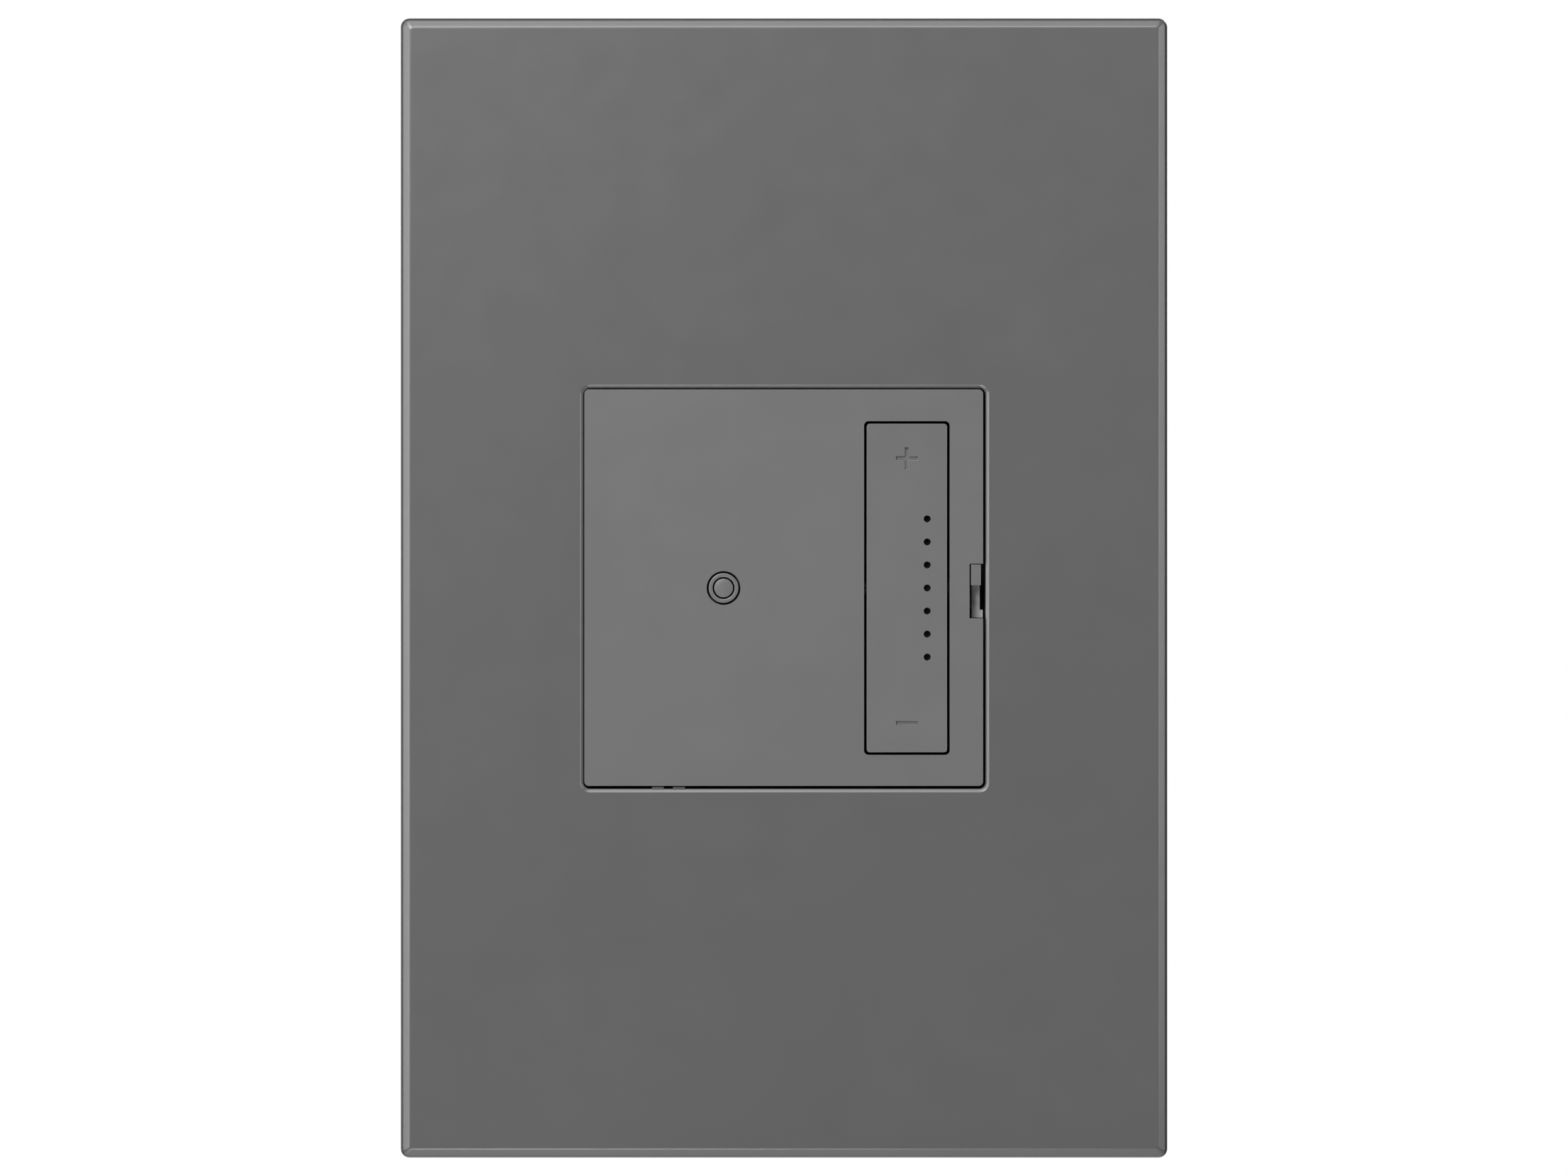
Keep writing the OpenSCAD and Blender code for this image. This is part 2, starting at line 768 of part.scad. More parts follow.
module heat_sink() {
    color([0.77, 0.78, 0.79]) upright() difference() {
        slab(body_w, body_w, 1, sink_back, split_z);
        for (x = [-1, 1], y = [-1, 1])
            post(x * corner_post_xy, y * corner_post_xy, housing_screw_r + 0.2,
                sink_back - cut, split_z + cut);
        post(triac_x, triac_hole_y, triac_screw_r + fixed_gap, sink_back - cut, split_z + cut);
        block([contact_x[0] - 0.4, -2, sink_back - cut], [contact_x[0] + 1, 5, split_z + cut]);
        block([-connector_size[0] / 2 - 0.6, connector_y - connector_size[1] / 2 - 0.6,
            sink_back - cut], [connector_size[0] / 2 + 0.6,
            connector_y + connector_size[1] / 2 + 0.6, split_z + cut]);
    }
}

module thermal_pad() {
    color([0.55, 0.6, 0.68]) upright() difference() {
        block([triac_x - 5.6, triac_hole_y - 13, sink_back - pad_t],
            [triac_x + 5.6, triac_hole_y + 3.4, sink_back]);
        post(triac_x, triac_hole_y, triac_screw_r + 0.3, sink_back - cut, sink_back + cut);
    }
}

module triac() {
    tab_back_z = sink_back - pad_t - triac_tab[2];
    color([0.1, 0.1, 0.11]) upright() difference() {
        union() {
            block([triac_x - triac_tab[0] / 2, triac_hole_y - 12.7, tab_back_z],
                [triac_x + triac_tab[0] / 2, triac_hole_y + 2.8, sink_back - pad_t]);
            block([triac_x - triac_tab[0] / 2, triac_hole_y - 12.7, tab_back_z - 3],
                [triac_x + triac_tab[0] / 2, triac_hole_y - 3.7, sink_back - pad_t]);
            for (x = [-2.54, 0, 2.54]) {
                block([triac_x + x - 0.4, triac_hole_y - 14.4, tab_back_z - 1.9],
                    [triac_x + x + 0.4, triac_hole_y - 12.6, tab_back_z - 1.4]);
                block([triac_x + x - 0.4, triac_hole_y - 14.4, power_front],
                    [triac_x + x + 0.4, triac_hole_y - 13.9, tab_back_z - 1.4]);
            }
        }
        post(triac_x, triac_hole_y, triac_screw_r + 0.2, tab_back_z - cut, sink_back + cut);
    }
}

module triac_screw() {
    head_z = sink_back - pad_t - triac_tab[2];
    color(steel) upright() {
        post(triac_x, triac_hole_y, triac_screw_r, head_z - 0.1, split_z - 0.2);
        translate([triac_x, triac_hole_y, head_z])
            rotate([180, 0, 0])
                cross_head(2.7, 1.8, 3, 0.7);
    }
}

module power_board() {
    color(board_green) upright() difference() {
        slab(power_w, power_w, 1, power_back, power_front);
        for (x = [-1, 1], y = [-1, 1])
            post(x * corner_post_xy, y * corner_post_xy, well_boss_r + 0.3,
                power_back - cut, power_front + cut);
    }
}

// A ferrite ring that lies flat under the power board
module choke_core() {
    color([0.22, 0.24, 0.22]) upright() translate([1.5, -9.5, power_back - 2.9])
        rotate_extrude()
            translate([6.5, 0])
                circle(2, $fn = 24);
}

module choke_winding() {
    color(copper) upright() translate([1.5, -9.5, power_back - 2.9])
        for (i = [0:13])
            rotate([0, 0, 20 + 22 * i])
                translate([6.5, 0, 0])
                    rotate([90, 0, 0])
                        rotate_extrude()
                            translate([2.4, 0])
                                circle(0.3, $fn = 16);
}

module film_capacitor() {
    color([0.75, 0.6, 0.15]) upright()
        block([2, 1.5, power_back - 11], [7, 14.5, power_back]);
}

module bulk_capacitor() {
    color([0.1, 0.12, 0.25]) upright()
        post(-6, 8, 4, power_back - 12, power_back);
}

module fuse() {
    color([0.15, 0.15, 0.16]) upright()
        post(15.4, -9.5, 4.1, power_back - 8, power_back);
}

module varistor() {
    color([0.1, 0.25, 0.55]) upright() {
        rod_x(8.3, 11.3, 8, power_back - 5.4, 4.5);
        for (y = [-2.5, 2.5])
            block([9.5, 8 + y - 0.35, power_back - 3], [10.2, 8 + y + 0.35, power_back]);
    }
}

// Places something on a terminal's side of the housing and at its height
module at_site(site) {
    translate([0, site[1], 0])
        mirror([site[0] < 0 ? 1 : 0, 0, 0])
            children();
}

module chamber_block() {
    block([chamber_x - chamber_wall, -chamber_w / 2 - chamber_wall, rear_z],
        [body_w / 2, chamber_w / 2 + chamber_wall, chamber_high + chamber_wall]);
}

module chamber_cut() {
    block([chamber_x, -chamber_w / 2, chamber_low], [body_w, chamber_w / 2, chamber_high]);
    block([terminal_plate_x[0] - 0.1, -1.6, chamber_high - cut],
        [terminal_plate_x[0] + 0.7, 1.6, chamber_high + 2 * chamber_wall]);
    for (y = [-wire_offset, wire_offset])
        post(wire_x, y, wire_hole_r, rear_z - cut, chamber_low + cut);
}

module rear_housing() {
    color(housing_black) upright() difference() {
        union() {
            difference() {
                slab(body_w, body_w, 1, rear_z, sink_back);
                slab(body_w - 2 * rear_wall, body_w - 2 * rear_wall, 0.4,
                    rear_z + rear_wall, sink_back + cut);
            }
            intersection() {
                slab(body_w, body_w, 1, rear_z, sink_back);
                for (x = [-1, 1], y = [-1, 1])
                    post(x * corner_post_xy, y * corner_post_xy, well_boss_r, rear_z, sink_back);
            }
            for (site = [line_site, load_site, traveller_site])
                at_site(site)
                    chamber_block();
        }
        for (site = [line_site, load_site, traveller_site])
            at_site(site)
                chamber_cut();
        for (x = [-1, 1], y = [-1, 1]) {
            post(x * corner_post_xy, y * corner_post_xy, well_r, rear_z - cut, well_seat);
            post(x * corner_post_xy, y * corner_post_xy, housing_screw_r + 0.2,
                well_seat - cut, sink_back + cut);
        }
    }
}

module housing_screws() {
    color(steel) upright() {
        for (x = [-1, 1], y = [-1, 1]) {
            post(x * corner_post_xy, y * corner_post_xy, housing_screw_r, well_seat - 0.1, -3.4);
            translate([x * corner_post_xy, y * corner_post_xy, well_seat])
                rotate([180, 0, 0])
                    cross_head(2.1, 1.5, 2.4, 0.6);
        }
    }
}

// The fixed plate of a terminal, with its threaded hole and its tail up to the power board
module terminal_plate(site) {
    color(brass) upright() at_site(site) difference() {
        union() {
            block([terminal_plate_x[0], -terminal_plate_w / 2, terminal_z - 4.4],
                [terminal_plate_x[1], terminal_plate_w / 2, terminal_z + 4.4]);
            block([terminal_plate_x[0], -1.5, terminal_z], [terminal_plate_x[0] + 0.6, 1.5, power_back]);
        }
        rod_x(chamber_x, body_w, 0, terminal_z, terminal_screw_r + fixed_gap);
    }
}

// The loose plate that the screw's head presses on the wires
module terminal_clamp(site) {
    color(brass) upright() at_site(site) difference() {
        block([terminal_clamp_x[0], -terminal_clamp_w / 2, terminal_z - 4],
            [terminal_clamp_x[1] - fixed_gap, terminal_clamp_w / 2, terminal_z + 4]);
        rod_x(chamber_x, body_w, 0, terminal_z, terminal_screw_r + 0.3);
    }
}

module terminal_screw(site, tint) {
    color(tint) upright() at_site(site) {
        rod_x(chamber_x + 0.4, terminal_clamp_x[1] + 0.1, 0, terminal_z, terminal_screw_r);
        translate([terminal_clamp_x[1], 0, terminal_z])
            rotate([0, 90, 0])
                cross_head(3.4, terminal_head_x - terminal_clamp_x[1], 4.2, 0.9);
    }
}

module line_terminal_plate() { terminal_plate(line_site); }
module line_terminal_clamp() { terminal_clamp(line_site); }
module line_terminal_screw() { terminal_screw(line_site, [0.1, 0.1, 0.1]); }
module load_terminal_plate() { terminal_plate(load_site); }
module load_terminal_clamp() { terminal_clamp(load_site); }
module load_terminal_screw() { terminal_screw(load_site, brass); }
module traveller_terminal_plate() { terminal_plate(traveller_site); }
module traveller_terminal_clamp() { terminal_clamp(traveller_site); }
module traveller_terminal_screw() { terminal_screw(traveller_site, brass); }

wall_plate();
mounting_frame();
box_screws();
screw_retainers();
ground_screw();
tap_plate();
locator_ring();
locator_cap();
tap_hinge_pin();
tap_spring_left();
tap_spring_right();
rocker_bar();
level_lens_strip();
rocker_pin();
plus_spring();
minus_spring();
service_slider();
service_bridge();
service_contacts();
front_housing();
control_board();
tap_switch_body();
plus_switch_body();
minus_switch_body();
tap_switch_plunger();
plus_switch_plunger();
minus_switch_plunger();
level_leds();
locator_led();
controller_chip();
board_connector();
heat_sink();
thermal_pad();
triac();
triac_screw();
power_board();
choke_core();
choke_winding();
film_capacitor();
bulk_capacitor();
fuse();
varistor();
rear_housing();
housing_screws();
line_terminal_plate();
line_terminal_clamp();
line_terminal_screw();
load_terminal_plate();
load_terminal_clamp();
load_terminal_screw();
traveller_terminal_plate();
traveller_terminal_clamp();
traveller_terminal_screw();
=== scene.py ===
import math

import bmesh
import bpy
from mathutils import Matrix, Vector


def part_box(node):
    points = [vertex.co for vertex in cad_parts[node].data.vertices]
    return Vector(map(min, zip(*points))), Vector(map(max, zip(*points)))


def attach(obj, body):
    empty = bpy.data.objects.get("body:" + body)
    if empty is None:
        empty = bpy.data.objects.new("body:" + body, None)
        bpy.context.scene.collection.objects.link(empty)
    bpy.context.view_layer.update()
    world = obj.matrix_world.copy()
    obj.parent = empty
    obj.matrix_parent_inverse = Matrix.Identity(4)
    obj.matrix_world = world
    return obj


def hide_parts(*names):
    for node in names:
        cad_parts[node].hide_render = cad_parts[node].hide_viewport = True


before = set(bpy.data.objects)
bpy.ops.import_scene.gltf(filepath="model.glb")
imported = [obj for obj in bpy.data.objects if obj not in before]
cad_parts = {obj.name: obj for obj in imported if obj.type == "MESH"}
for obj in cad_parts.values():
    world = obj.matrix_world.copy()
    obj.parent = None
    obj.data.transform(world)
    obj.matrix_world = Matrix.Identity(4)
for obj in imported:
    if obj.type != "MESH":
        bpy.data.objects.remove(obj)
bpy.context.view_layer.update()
MM = 0.001


# ---- Camera and studio ----
# A long lens looks straight at the face. A soft key stands up and to the left, and four narrow
# soft boxes stand round the face, each where a bevelled edge mirrors it. Two larger ones light
# the back.
LENS = 150
SENSOR = 36
VIEW_WIDTH = 0.179
GLOW_COLOR = (0.95, 0.97, 1.0, 1.0)
GLOW = 0.03
PAPER_COLOR = (1.0, 1.0, 1.0, 1.0)


def lying(node):
    """A CAD node's lowest and highest corner in millimetres, when the dimmer lies face up."""
    low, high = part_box(node)
    return Vector((low.x, low.z, -high.y)) / MM, Vector((high.x, high.z, -low.y)) / MM


plate_low, plate_high = lying("wall_plate")
camera_data = bpy.data.cameras.new("camera")
camera_data.lens = LENS
camera_data.sensor_width = SENSOR
camera = bpy.data.objects.new("camera", camera_data)
camera.location = (0, -plate_high.z * MM - VIEW_WIDTH * LENS / SENSOR, 0)
camera.rotation_euler = (math.radians(90), 0, 0)
bpy.context.collection.objects.link(camera)
bpy.context.scene.camera = camera
bpy.context.scene.view_settings.view_transform = "Standard"


def soft_box(name, place, size, power):
    """A rectangular soft light at a place, turned towards the middle of the dimmer."""
    light = bpy.data.lights.new(name, "AREA")
    light.shape = "RECTANGLE"
    light.size, light.size_y = size
    light.energy = power
    lamp = bpy.data.objects.new(name, light)
    lamp.location = place
    lamp.rotation_euler = (-Vector(place)).to_track_quat("-Z", "Y").to_euler()
    bpy.context.collection.objects.link(lamp)


soft_box("key", (-0.3, -0.7, 0.4), (0.3, 0.3), 4.9)
soft_box("left_box", (-0.4, -0.36, 0.05), (0.12, 0.4), 1.05)
soft_box("right_box", (0.4, -0.36, 0.1), (0.12, 0.4), 0.75)
soft_box("top_box", (-0.05, -0.38, 0.42), (0.4, 0.12), 1.3)
soft_box("low_box", (-0.16, -0.4, -0.4), (0.35, 0.12), 2.0)
soft_box("back_box", (0.22, 0.9, 0.25), (0.4, 0.4), 6.5)
soft_box("back_fill", (-0.28, 0.9, -0.05), (0.4, 0.4), 4.0)

world = bpy.data.worlds.new("studio")
world.use_nodes = True
bpy.context.scene.world = world
studio = world.node_tree
glow = studio.nodes["Background"]
glow.inputs["Color"].default_value = GLOW_COLOR
glow.inputs["Strength"].default_value = GLOW
paper = studio.nodes.new("ShaderNodeBackground")
paper.inputs["Color"].default_value = PAPER_COLOR
seen = studio.nodes.new("ShaderNodeLightPath")
either = studio.nodes.new("ShaderNodeMixShader")
studio.links.new(seen.outputs["Is Camera Ray"], either.inputs["Fac"])
studio.links.new(glow.outputs["Background"], either.inputs[1])
studio.links.new(paper.outputs["Background"], either.inputs[2])
studio.links.new(either.outputs["Shader"], studio.nodes["World Output"].inputs["Surface"])


# ---- Wall plate ----
# One moulding of satin dark grey plastic, with a soft bevel round its front. A collar runs round
# the inside of its square opening, ribs stiffen its back, and four hooks hold it to the frame.
# Two small ribs under the tap plate centre it in the opening.
PLATE_CORNER = 1.0
PLATE_WALL = 2.0
PLATE_SKIRT = 1.8
SKIRT_CORNER = 0.6
OPENING = (45.9, 45.7)
OPENING_CORNER = 0.7
OPENING_CENTRE = (0.05, -0.05)
COLLAR_WALL = 1.4
COLLAR_CORNER = 1.5
COLLAR_BACK = 4.6
RIB_ROWS = (-60, -34, 34, 60)
RIB_HALF = 0.6
RIB_BACK = 5.0
HOOK_COLUMNS = (-24, 24)
HOOK_HALF = 2.5
HOOK_INNER = 52.4
HOOK_OUTER = 53.6
HOOK_TIP = 0.35
BARB_REACH = 0.9
BARB_FRONT = 1.12
CENTRING_RIBS = (-14.4, -12.0)
CENTRING_HALF = 0.675
CENTRING_STAND = 0.16
CENTRING_FRONT = 8.85
ROOTED = 0.3
# An edge runs from a wall to a face in arcs. Each has a radius, its first and last tilt in degrees,
# and the width of the flat band after it.
PLATE_EDGE = ((0.05, 90, 68, 0.2), (0.25, 68, 24, 0.6), (0.8, 24, 0, 0))
OPENING_EDGE = ((0.1, 90, 28, 0.32), (0.25, 28, 0, 0))
BACK_EDGE = ((0.2, 90, 0, 0),)
CORNERS = ((-1, -1), (1, -1), (1, 1), (-1, 1))
CORNER_LEAST = 0.3
CORNER_STEPS = 8
ARC_STEPS = 4
FLAT = math.radians(0.5)
CREASE = math.radians(50)
NOISE_LOW = 0.3
NOISE_HIGH = 0.7


def material(name, color, roughness, metallic=0.0):
    """A material with the plain values of its shader set; patterns are added to it."""
    made = bpy.data.materials.new(name)
    made.use_nodes = True
    made.diffuse_color = (*color, 1.0)
    shader = made.node_tree.nodes["Principled BSDF"]
    shader.inputs["Base Color"].default_value = (*color, 1.0)
    shader.inputs["Roughness"].default_value = roughness
    shader.inputs["Metallic"].default_value = metallic
    return made


def pattern(made, kind, scale, stretch=(1, 1, 1), **settings):
    """A texture on the piece's own coordinates, stretched along its axes."""
    nodes, links = made.node_tree.nodes, made.node_tree.links
    place = nodes.new("ShaderNodeTexCoord")
    turn = nodes.new("ShaderNodeMapping")
    turn.inputs["Scale"].default_value = stretch
    texture = nodes.new("ShaderNodeTex" + kind)
    texture.inputs["Scale"].default_value = scale
    for name, value in settings.items():
        texture.inputs[name.replace("_", " ").title()].default_value = value
    links.new(place.outputs["Object"], turn.inputs["Vector"])
    links.new(turn.outputs["Vector"], texture.inputs["Vector"])
    return texture.outputs["Distance" if kind == "Voronoi" else "Fac"]


def tint(made, value, dark, light, low=NOISE_LOW, high=NOISE_HIGH):
    """Colours the surface between two shades by a pattern."""
    ramp = made.node_tree.nodes.new("ShaderNodeValToRGB")
    ramp.color_ramp.elements[0].position = low
    ramp.color_ramp.elements[0].color = (*dark, 1.0)
    ramp.color_ramp.elements[1].position = high
    ramp.color_ramp.elements[1].color = (*light, 1.0)
    made.node_tree.links.new(value, ramp.inputs["Fac"])
    shader = made.node_tree.nodes["Principled BSDF"]
    made.node_tree.links.new(ramp.outputs["Color"], shader.inputs["Base Color"])


def gloss(made, value, smooth, rough):
    """Varies the roughness between two values by a pattern."""
    span = made.node_tree.nodes.new("ShaderNodeMapRange")
    span.inputs["From Min"].default_value = NOISE_LOW
    span.inputs["From Max"].default_value = NOISE_HIGH
    span.inputs["To Min"].default_value = smooth
    span.inputs["To Max"].default_value = rough
    made.node_tree.links.new(value, span.inputs["Value"])
    shader = made.node_tree.nodes["Principled BSDF"]
    made.node_tree.links.new(span.outputs["Result"], shader.inputs["Roughness"])


def relief(made, value, depth, strength):
    """Raises the surface by a pattern, to a depth in millimetres."""
    bump = made.node_tree.nodes.new("ShaderNodeBump")
    bump.inputs["Strength"].default_value = strength
    bump.inputs["Distance"].default_value = depth * MM
    made.node_tree.links.new(value, bump.inputs["Height"])
    shader = made.node_tree.nodes["Principled BSDF"]
    made.node_tree.links.new(bump.outputs["Normal"], shader.inputs["Normal"])


def shade(color, factor):
    """A colour made darker or lighter by a factor."""
    return tuple(min(1.0, value * factor) for value in color)


def satin_plastic(name, color):
    """Satin moulded plastic: a faint large mottle, a fine grain, and a soft metallic look."""
    made = material(name, color, 0.3, 0.25)
    tint(made, pattern(made, "Noise", 60, detail=3), shade(color, 0.98), shade(color, 1.02))
    gloss(made, pattern(made, "Noise", 240, detail=2), 0.285, 0.315)
    relief(made, pattern(made, "Noise", 5200, detail=2), 0.01, 0.1)
    return made


def rectangle(size, centre=(0, 0)):
    """The corners of a rectangle."""
    return [(centre[0] + x * size[0] / 2, centre[1] + y * size[1] / 2) for x, y in CORNERS]


def outline(bm, corners, radius, z):
    """A closed loop of edges at height z, through corners that are rounded to a radius."""
    verts = [bm.verts.new((x, y, z)) for x, y in corners]
    bm.faces.new(verts)
    rounded = bmesh.ops.bevel(bm, geom=verts, offset=radius, offset_type="OFFSET",
                              affect="VERTICES", segments=CORNER_STEPS, profile=0.5,
                              material=-1)["verts"]
    face = rounded[0].link_faces[0]
    edges = list(face.edges)
    bmesh.ops.delete(bm, geom=[face], context="FACES_ONLY")
    return edges


def walls(bm, *loops):
    """Walls from each loop to the next."""
    for one, other in zip(loops, loops[1:]):
        bmesh.ops.bridge_loops(bm, edges=one + other)


def flat(bm, *loops):
    """A flat face between an outer loop and the holes in it."""
    rims = [edge for loop in loops for edge in loop]
    filled = bmesh.ops.triangle_fill(bm, edges=rims, use_beauty=True)["geom"]
    inner = [item for item in filled if isinstance(item, bmesh.types.BMEdge) and item not in rims]
    bmesh.ops.dissolve_limit(bm, angle_limit=FLAT, verts=[], edges=inner)


def edge_outline(arcs):
    """Runs and rises along an edge from wall to face: arcs, each with a straight band after it."""
    run, rise = 0.0, 0.0
    places = [(run, rise)]
    for radius, first, last, band in arcs:
        first, last = math.radians(first), math.radians(last)
        for i in range(1, ARC_STEPS + 1):
            tilt = first + (last - first) * i / ARC_STEPS
            places.append((run + radius * (math.sin(first) - math.sin(tilt)),
                           rise + radius * (math.cos(tilt) - math.cos(first))))
        run, rise = places[-1]
        if band:
            run += band
            rise += band * math.tan(last)
            places.append((run, rise))
    return places


def edge_loops(bm, size, corner, spread, arcs, face_z, facing, centre=(0, 0)):
    """Loops round a rectangle along an edge's outline, up to the face that the edge leads to.

    Spread is -1 where the loops draw in towards the face and 1 where they widen. Facing is 1 for
    a front face and -1 for a back face.
    """
    steps = edge_outline(arcs)
    return [outline(bm, rectangle([side + 2 * spread * run for side in size], centre),
                    max(corner + spread * run, CORNER_LEAST),
                    face_z + facing * (rise - steps[-1][1])) for run, rise in steps]


def soften(bm, edges, radius, steps=3):
    """Rounds edges to a radius."""
    bmesh.ops.bevel(bm, geom=edges, offset=radius, offset_type="OFFSET", affect="EDGES",
                    segments=steps, profile=0.5, material=-1, clamp_overlap=True)


def block(bm, low, high):
    """A box between two opposite corners; returns its vertices."""
    low, high = Vector(low), Vector(high)
    made = bmesh.ops.create_cube(bm, size=1.0)["verts"]
    bmesh.ops.scale(bm, vec=high - low, verts=made)
    bmesh.ops.translate(bm, vec=(low + high) / 2, verts=made)
    return made


def fit(bm, name, body, slot, finish, *nodes):
    """Stands a finished piece up, from face up in millimetres, and puts it in place of CAD nodes."""
    bmesh.ops.recalc_face_normals(bm, faces=bm.faces)
    bmesh.ops.scale(bm, vec=(MM, MM, MM), verts=bm.verts)
    bmesh.ops.rotate(bm, cent=(0, 0, 0), matrix=Matrix.Rotation(math.radians(90), 3, "X"),
                     verts=bm.verts)
    mesh = bpy.data.meshes.new(name)
    bm.to_mesh(mesh)
    bm.free()
    for made in finish if isinstance(finish, tuple) else (finish,):
        mesh.materials.append(made)
    mesh.shade_smooth()
    mesh.set_sharp_from_angle(angle=CREASE)
    piece = bpy.data.objects.new(name, mesh)
    bpy.context.collection.objects.link(piece)
    evened = piece.modifiers.new("evened_normals", "WEIGHTED_NORMAL")
    evened.keep_sharp = True
    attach(piece, body)
    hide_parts(*nodes)
    return piece


plate_grey = satin_plastic("plate_plastic", (0.112, 0.112, 0.113))
plate_size = (plate_high.x - plate_low.x, plate_high.y - plate_low.y)
skirt_size = [side - 2 * PLATE_SKIRT for side in plate_size]
collar_size = [side + 2 * COLLAR_WALL for side in OPENING]
plate_inside = plate_high.z - PLATE_WALL
rib_reach = plate_size[0] / 2 - PLATE_SKIRT + ROOTED
bm = bmesh.new()
rim = edge_loops(bm, plate_size, PLATE_CORNER, -1, PLATE_EDGE, plate_high.z, 1)
lip = edge_loops(bm, OPENING, OPENING_CORNER, 1, OPENING_EDGE, plate_high.z, 1, OPENING_CENTRE)
back_rim = edge_loops(bm, plate_size, PLATE_CORNER, -1, BACK_EDGE, plate_low.z, -1)
skirt_rim = edge_loops(bm, skirt_size, SKIRT_CORNER, 1, BACK_EDGE, plate_low.z, -1)
collar_rim = edge_loops(bm, collar_size, COLLAR_CORNER, -1, BACK_EDGE, COLLAR_BACK, -1)
collar_lip = edge_loops(bm, OPENING, OPENING_CORNER, 1, BACK_EDGE, COLLAR_BACK, -1, OPENING_CENTRE)
collar_root = outline(bm, rectangle(collar_size), COLLAR_CORNER, plate_inside)
skirt_root = outline(bm, rectangle(skirt_size), SKIRT_CORNER, plate_inside)
walls(bm, *back_rim[::-1], *rim)
walls(bm, *collar_lip[::-1], *lip)
walls(bm, *collar_rim[::-1], collar_root)
walls(bm, *skirt_rim[::-1], skirt_root)
flat(bm, rim[-1], lip[-1])
flat(bm, collar_lip[-1], collar_rim[-1])
flat(bm, collar_root, skirt_root)
flat(bm, skirt_rim[-1], back_rim[-1])
for y in RIB_ROWS:
    block(bm, (-rib_reach, y - RIB_HALF, RIB_BACK),
          (rib_reach, y + RIB_HALF, plate_inside + ROOTED))
for x in CENTRING_RIBS:
    block(bm, (x - CENTRING_HALF, -OPENING[1] / 2 - ROOTED, COLLAR_BACK + ROOTED),
          (x + CENTRING_HALF, -OPENING[1] / 2 + CENTRING_STAND, CENTRING_FRONT))
for side in (-1, 1):
    for x in HOOK_COLUMNS:
        leg = [(HOOK_INNER, plate_inside + ROOTED), (HOOK_INNER, HOOK_TIP),
               (HOOK_OUTER + BARB_REACH / 3, HOOK_TIP), (HOOK_OUTER + BARB_REACH, BARB_FRONT),
               (HOOK_OUTER, BARB_FRONT), (HOOK_OUTER, plate_inside + ROOTED)]
        profile = bm.faces.new([bm.verts.new((x - HOOK_HALF, side * y, z)) for y, z in leg])
        grown = bmesh.ops.extrude_face_region(bm, geom=[profile], use_keep_orig=True)["geom"]
        bmesh.ops.translate(bm, vec=(2 * HOOK_HALF, 0, 0),
                            verts=[item for item in grown if isinstance(item, bmesh.types.BMVert)])
fit(bm, "wall_plate_moulding", "base", "face_plastic", plate_grey, "wall_plate")


# ---- Tap plate ----
# The square face that is pressed to switch the light on and off. It is moulded in the same satin
# plastic, a shade lighter, with slots for the rocker bar, the locator light and the service
# slide. Bosses on its back turn on a steel pin, and two hooks stop it from lifting.
EDGE = 0.08
CORNER_ANGLE = math.radians(30)
MERGED = 0.002


def copied(node):
    """A CAD node's shape in millimetres, face up, its loose triangles joined into whole faces."""
    bm = bmesh.new()
    bm.from_mesh(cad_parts[node].data)
    bmesh.ops.scale(bm, vec=(1 / MM, 1 / MM, 1 / MM), verts=bm.verts)
    bmesh.ops.rotate(bm, cent=(0, 0, 0), matrix=Matrix.Rotation(math.radians(-90), 3, "X"),
                     verts=bm.verts)
    bmesh.ops.remove_doubles(bm, verts=bm.verts, dist=MERGED)
    bmesh.ops.dissolve_limit(bm, angle_limit=FLAT, verts=bm.verts, edges=bm.edges)
    return bm


def sharp_edges(bm):
    """The edges at which a shape turns a corner."""
    return [edge for edge in bm.edges if edge.calc_face_angle(0.0) > CORNER_ANGLE]


insert_grey = satin_plastic("insert_plastic", (0.149, 0.149, 0.150))
bm = copied("tap_plate")
soften(bm, sharp_edges(bm), EDGE)
fit(bm, "tap_plate_moulding", "tap", "face_plastic", insert_grey, "tap_plate")


# ---- Locator light ----
# A ring of the same plastic, pressed in from behind, holds a round light cap of satin tinted
# plastic. The lamp on the board behind it glows through the cap when the light is off.
RING_INNER = 1.25
RING_OUTER = 1.7
RING_EDGE = 0.07
FLANGE_DEPTH = 1.62
CAP_RADIUS = 1.08
CAP_FLANGE = 0.78
CAP_CROWN = 0.05
CAP_GLOW = 0.15
CAP_GLOW_DEPTH = 0.6
POLE_MERGED = 0.0001


def turned(bm, centre, profile, steps=64):
    """A turned shape: its half outline, as radius and height, spun once round an upright axis."""
    verts = [bm.verts.new((centre[0] + radius, centre[1], z)) for radius, z in profile]
    edges = [bm.edges.new(pair) for pair in zip(verts, verts[1:])]
    bmesh.ops.spin(bm, geom=verts + edges, cent=(*centre, 0), axis=(0, 0, 1), dvec=(0, 0, 0),
                   angle=math.tau, steps=steps, use_merge=True)
    bmesh.ops.remove_doubles(bm, verts=bm.verts, dist=POLE_MERGED)


ring_low, ring_high = lying("locator_ring")
cap_low, cap_high = lying("locator_cap")
locator = ((ring_low.x + ring_high.x) / 2, (ring_low.y + ring_high.y) / 2)
flange_radius = ring_high.x - locator[0]
flange_front = lying("tap_plate")[1].z - FLANGE_DEPTH
bm = bmesh.new()
turned(bm, locator, [(RING_INNER, ring_low.z), (flange_radius, ring_low.z),
                     (flange_radius, flange_front), (RING_OUTER, flange_front),
                     (RING_OUTER, ring_high.z), (RING_INNER, ring_high.z),
                     (RING_INNER, ring_low.z)])
soften(bm, sharp_edges(bm), RING_EDGE)
fit(bm, "locator_ring_bezel", "tap", "face_plastic", insert_grey, "locator_ring")

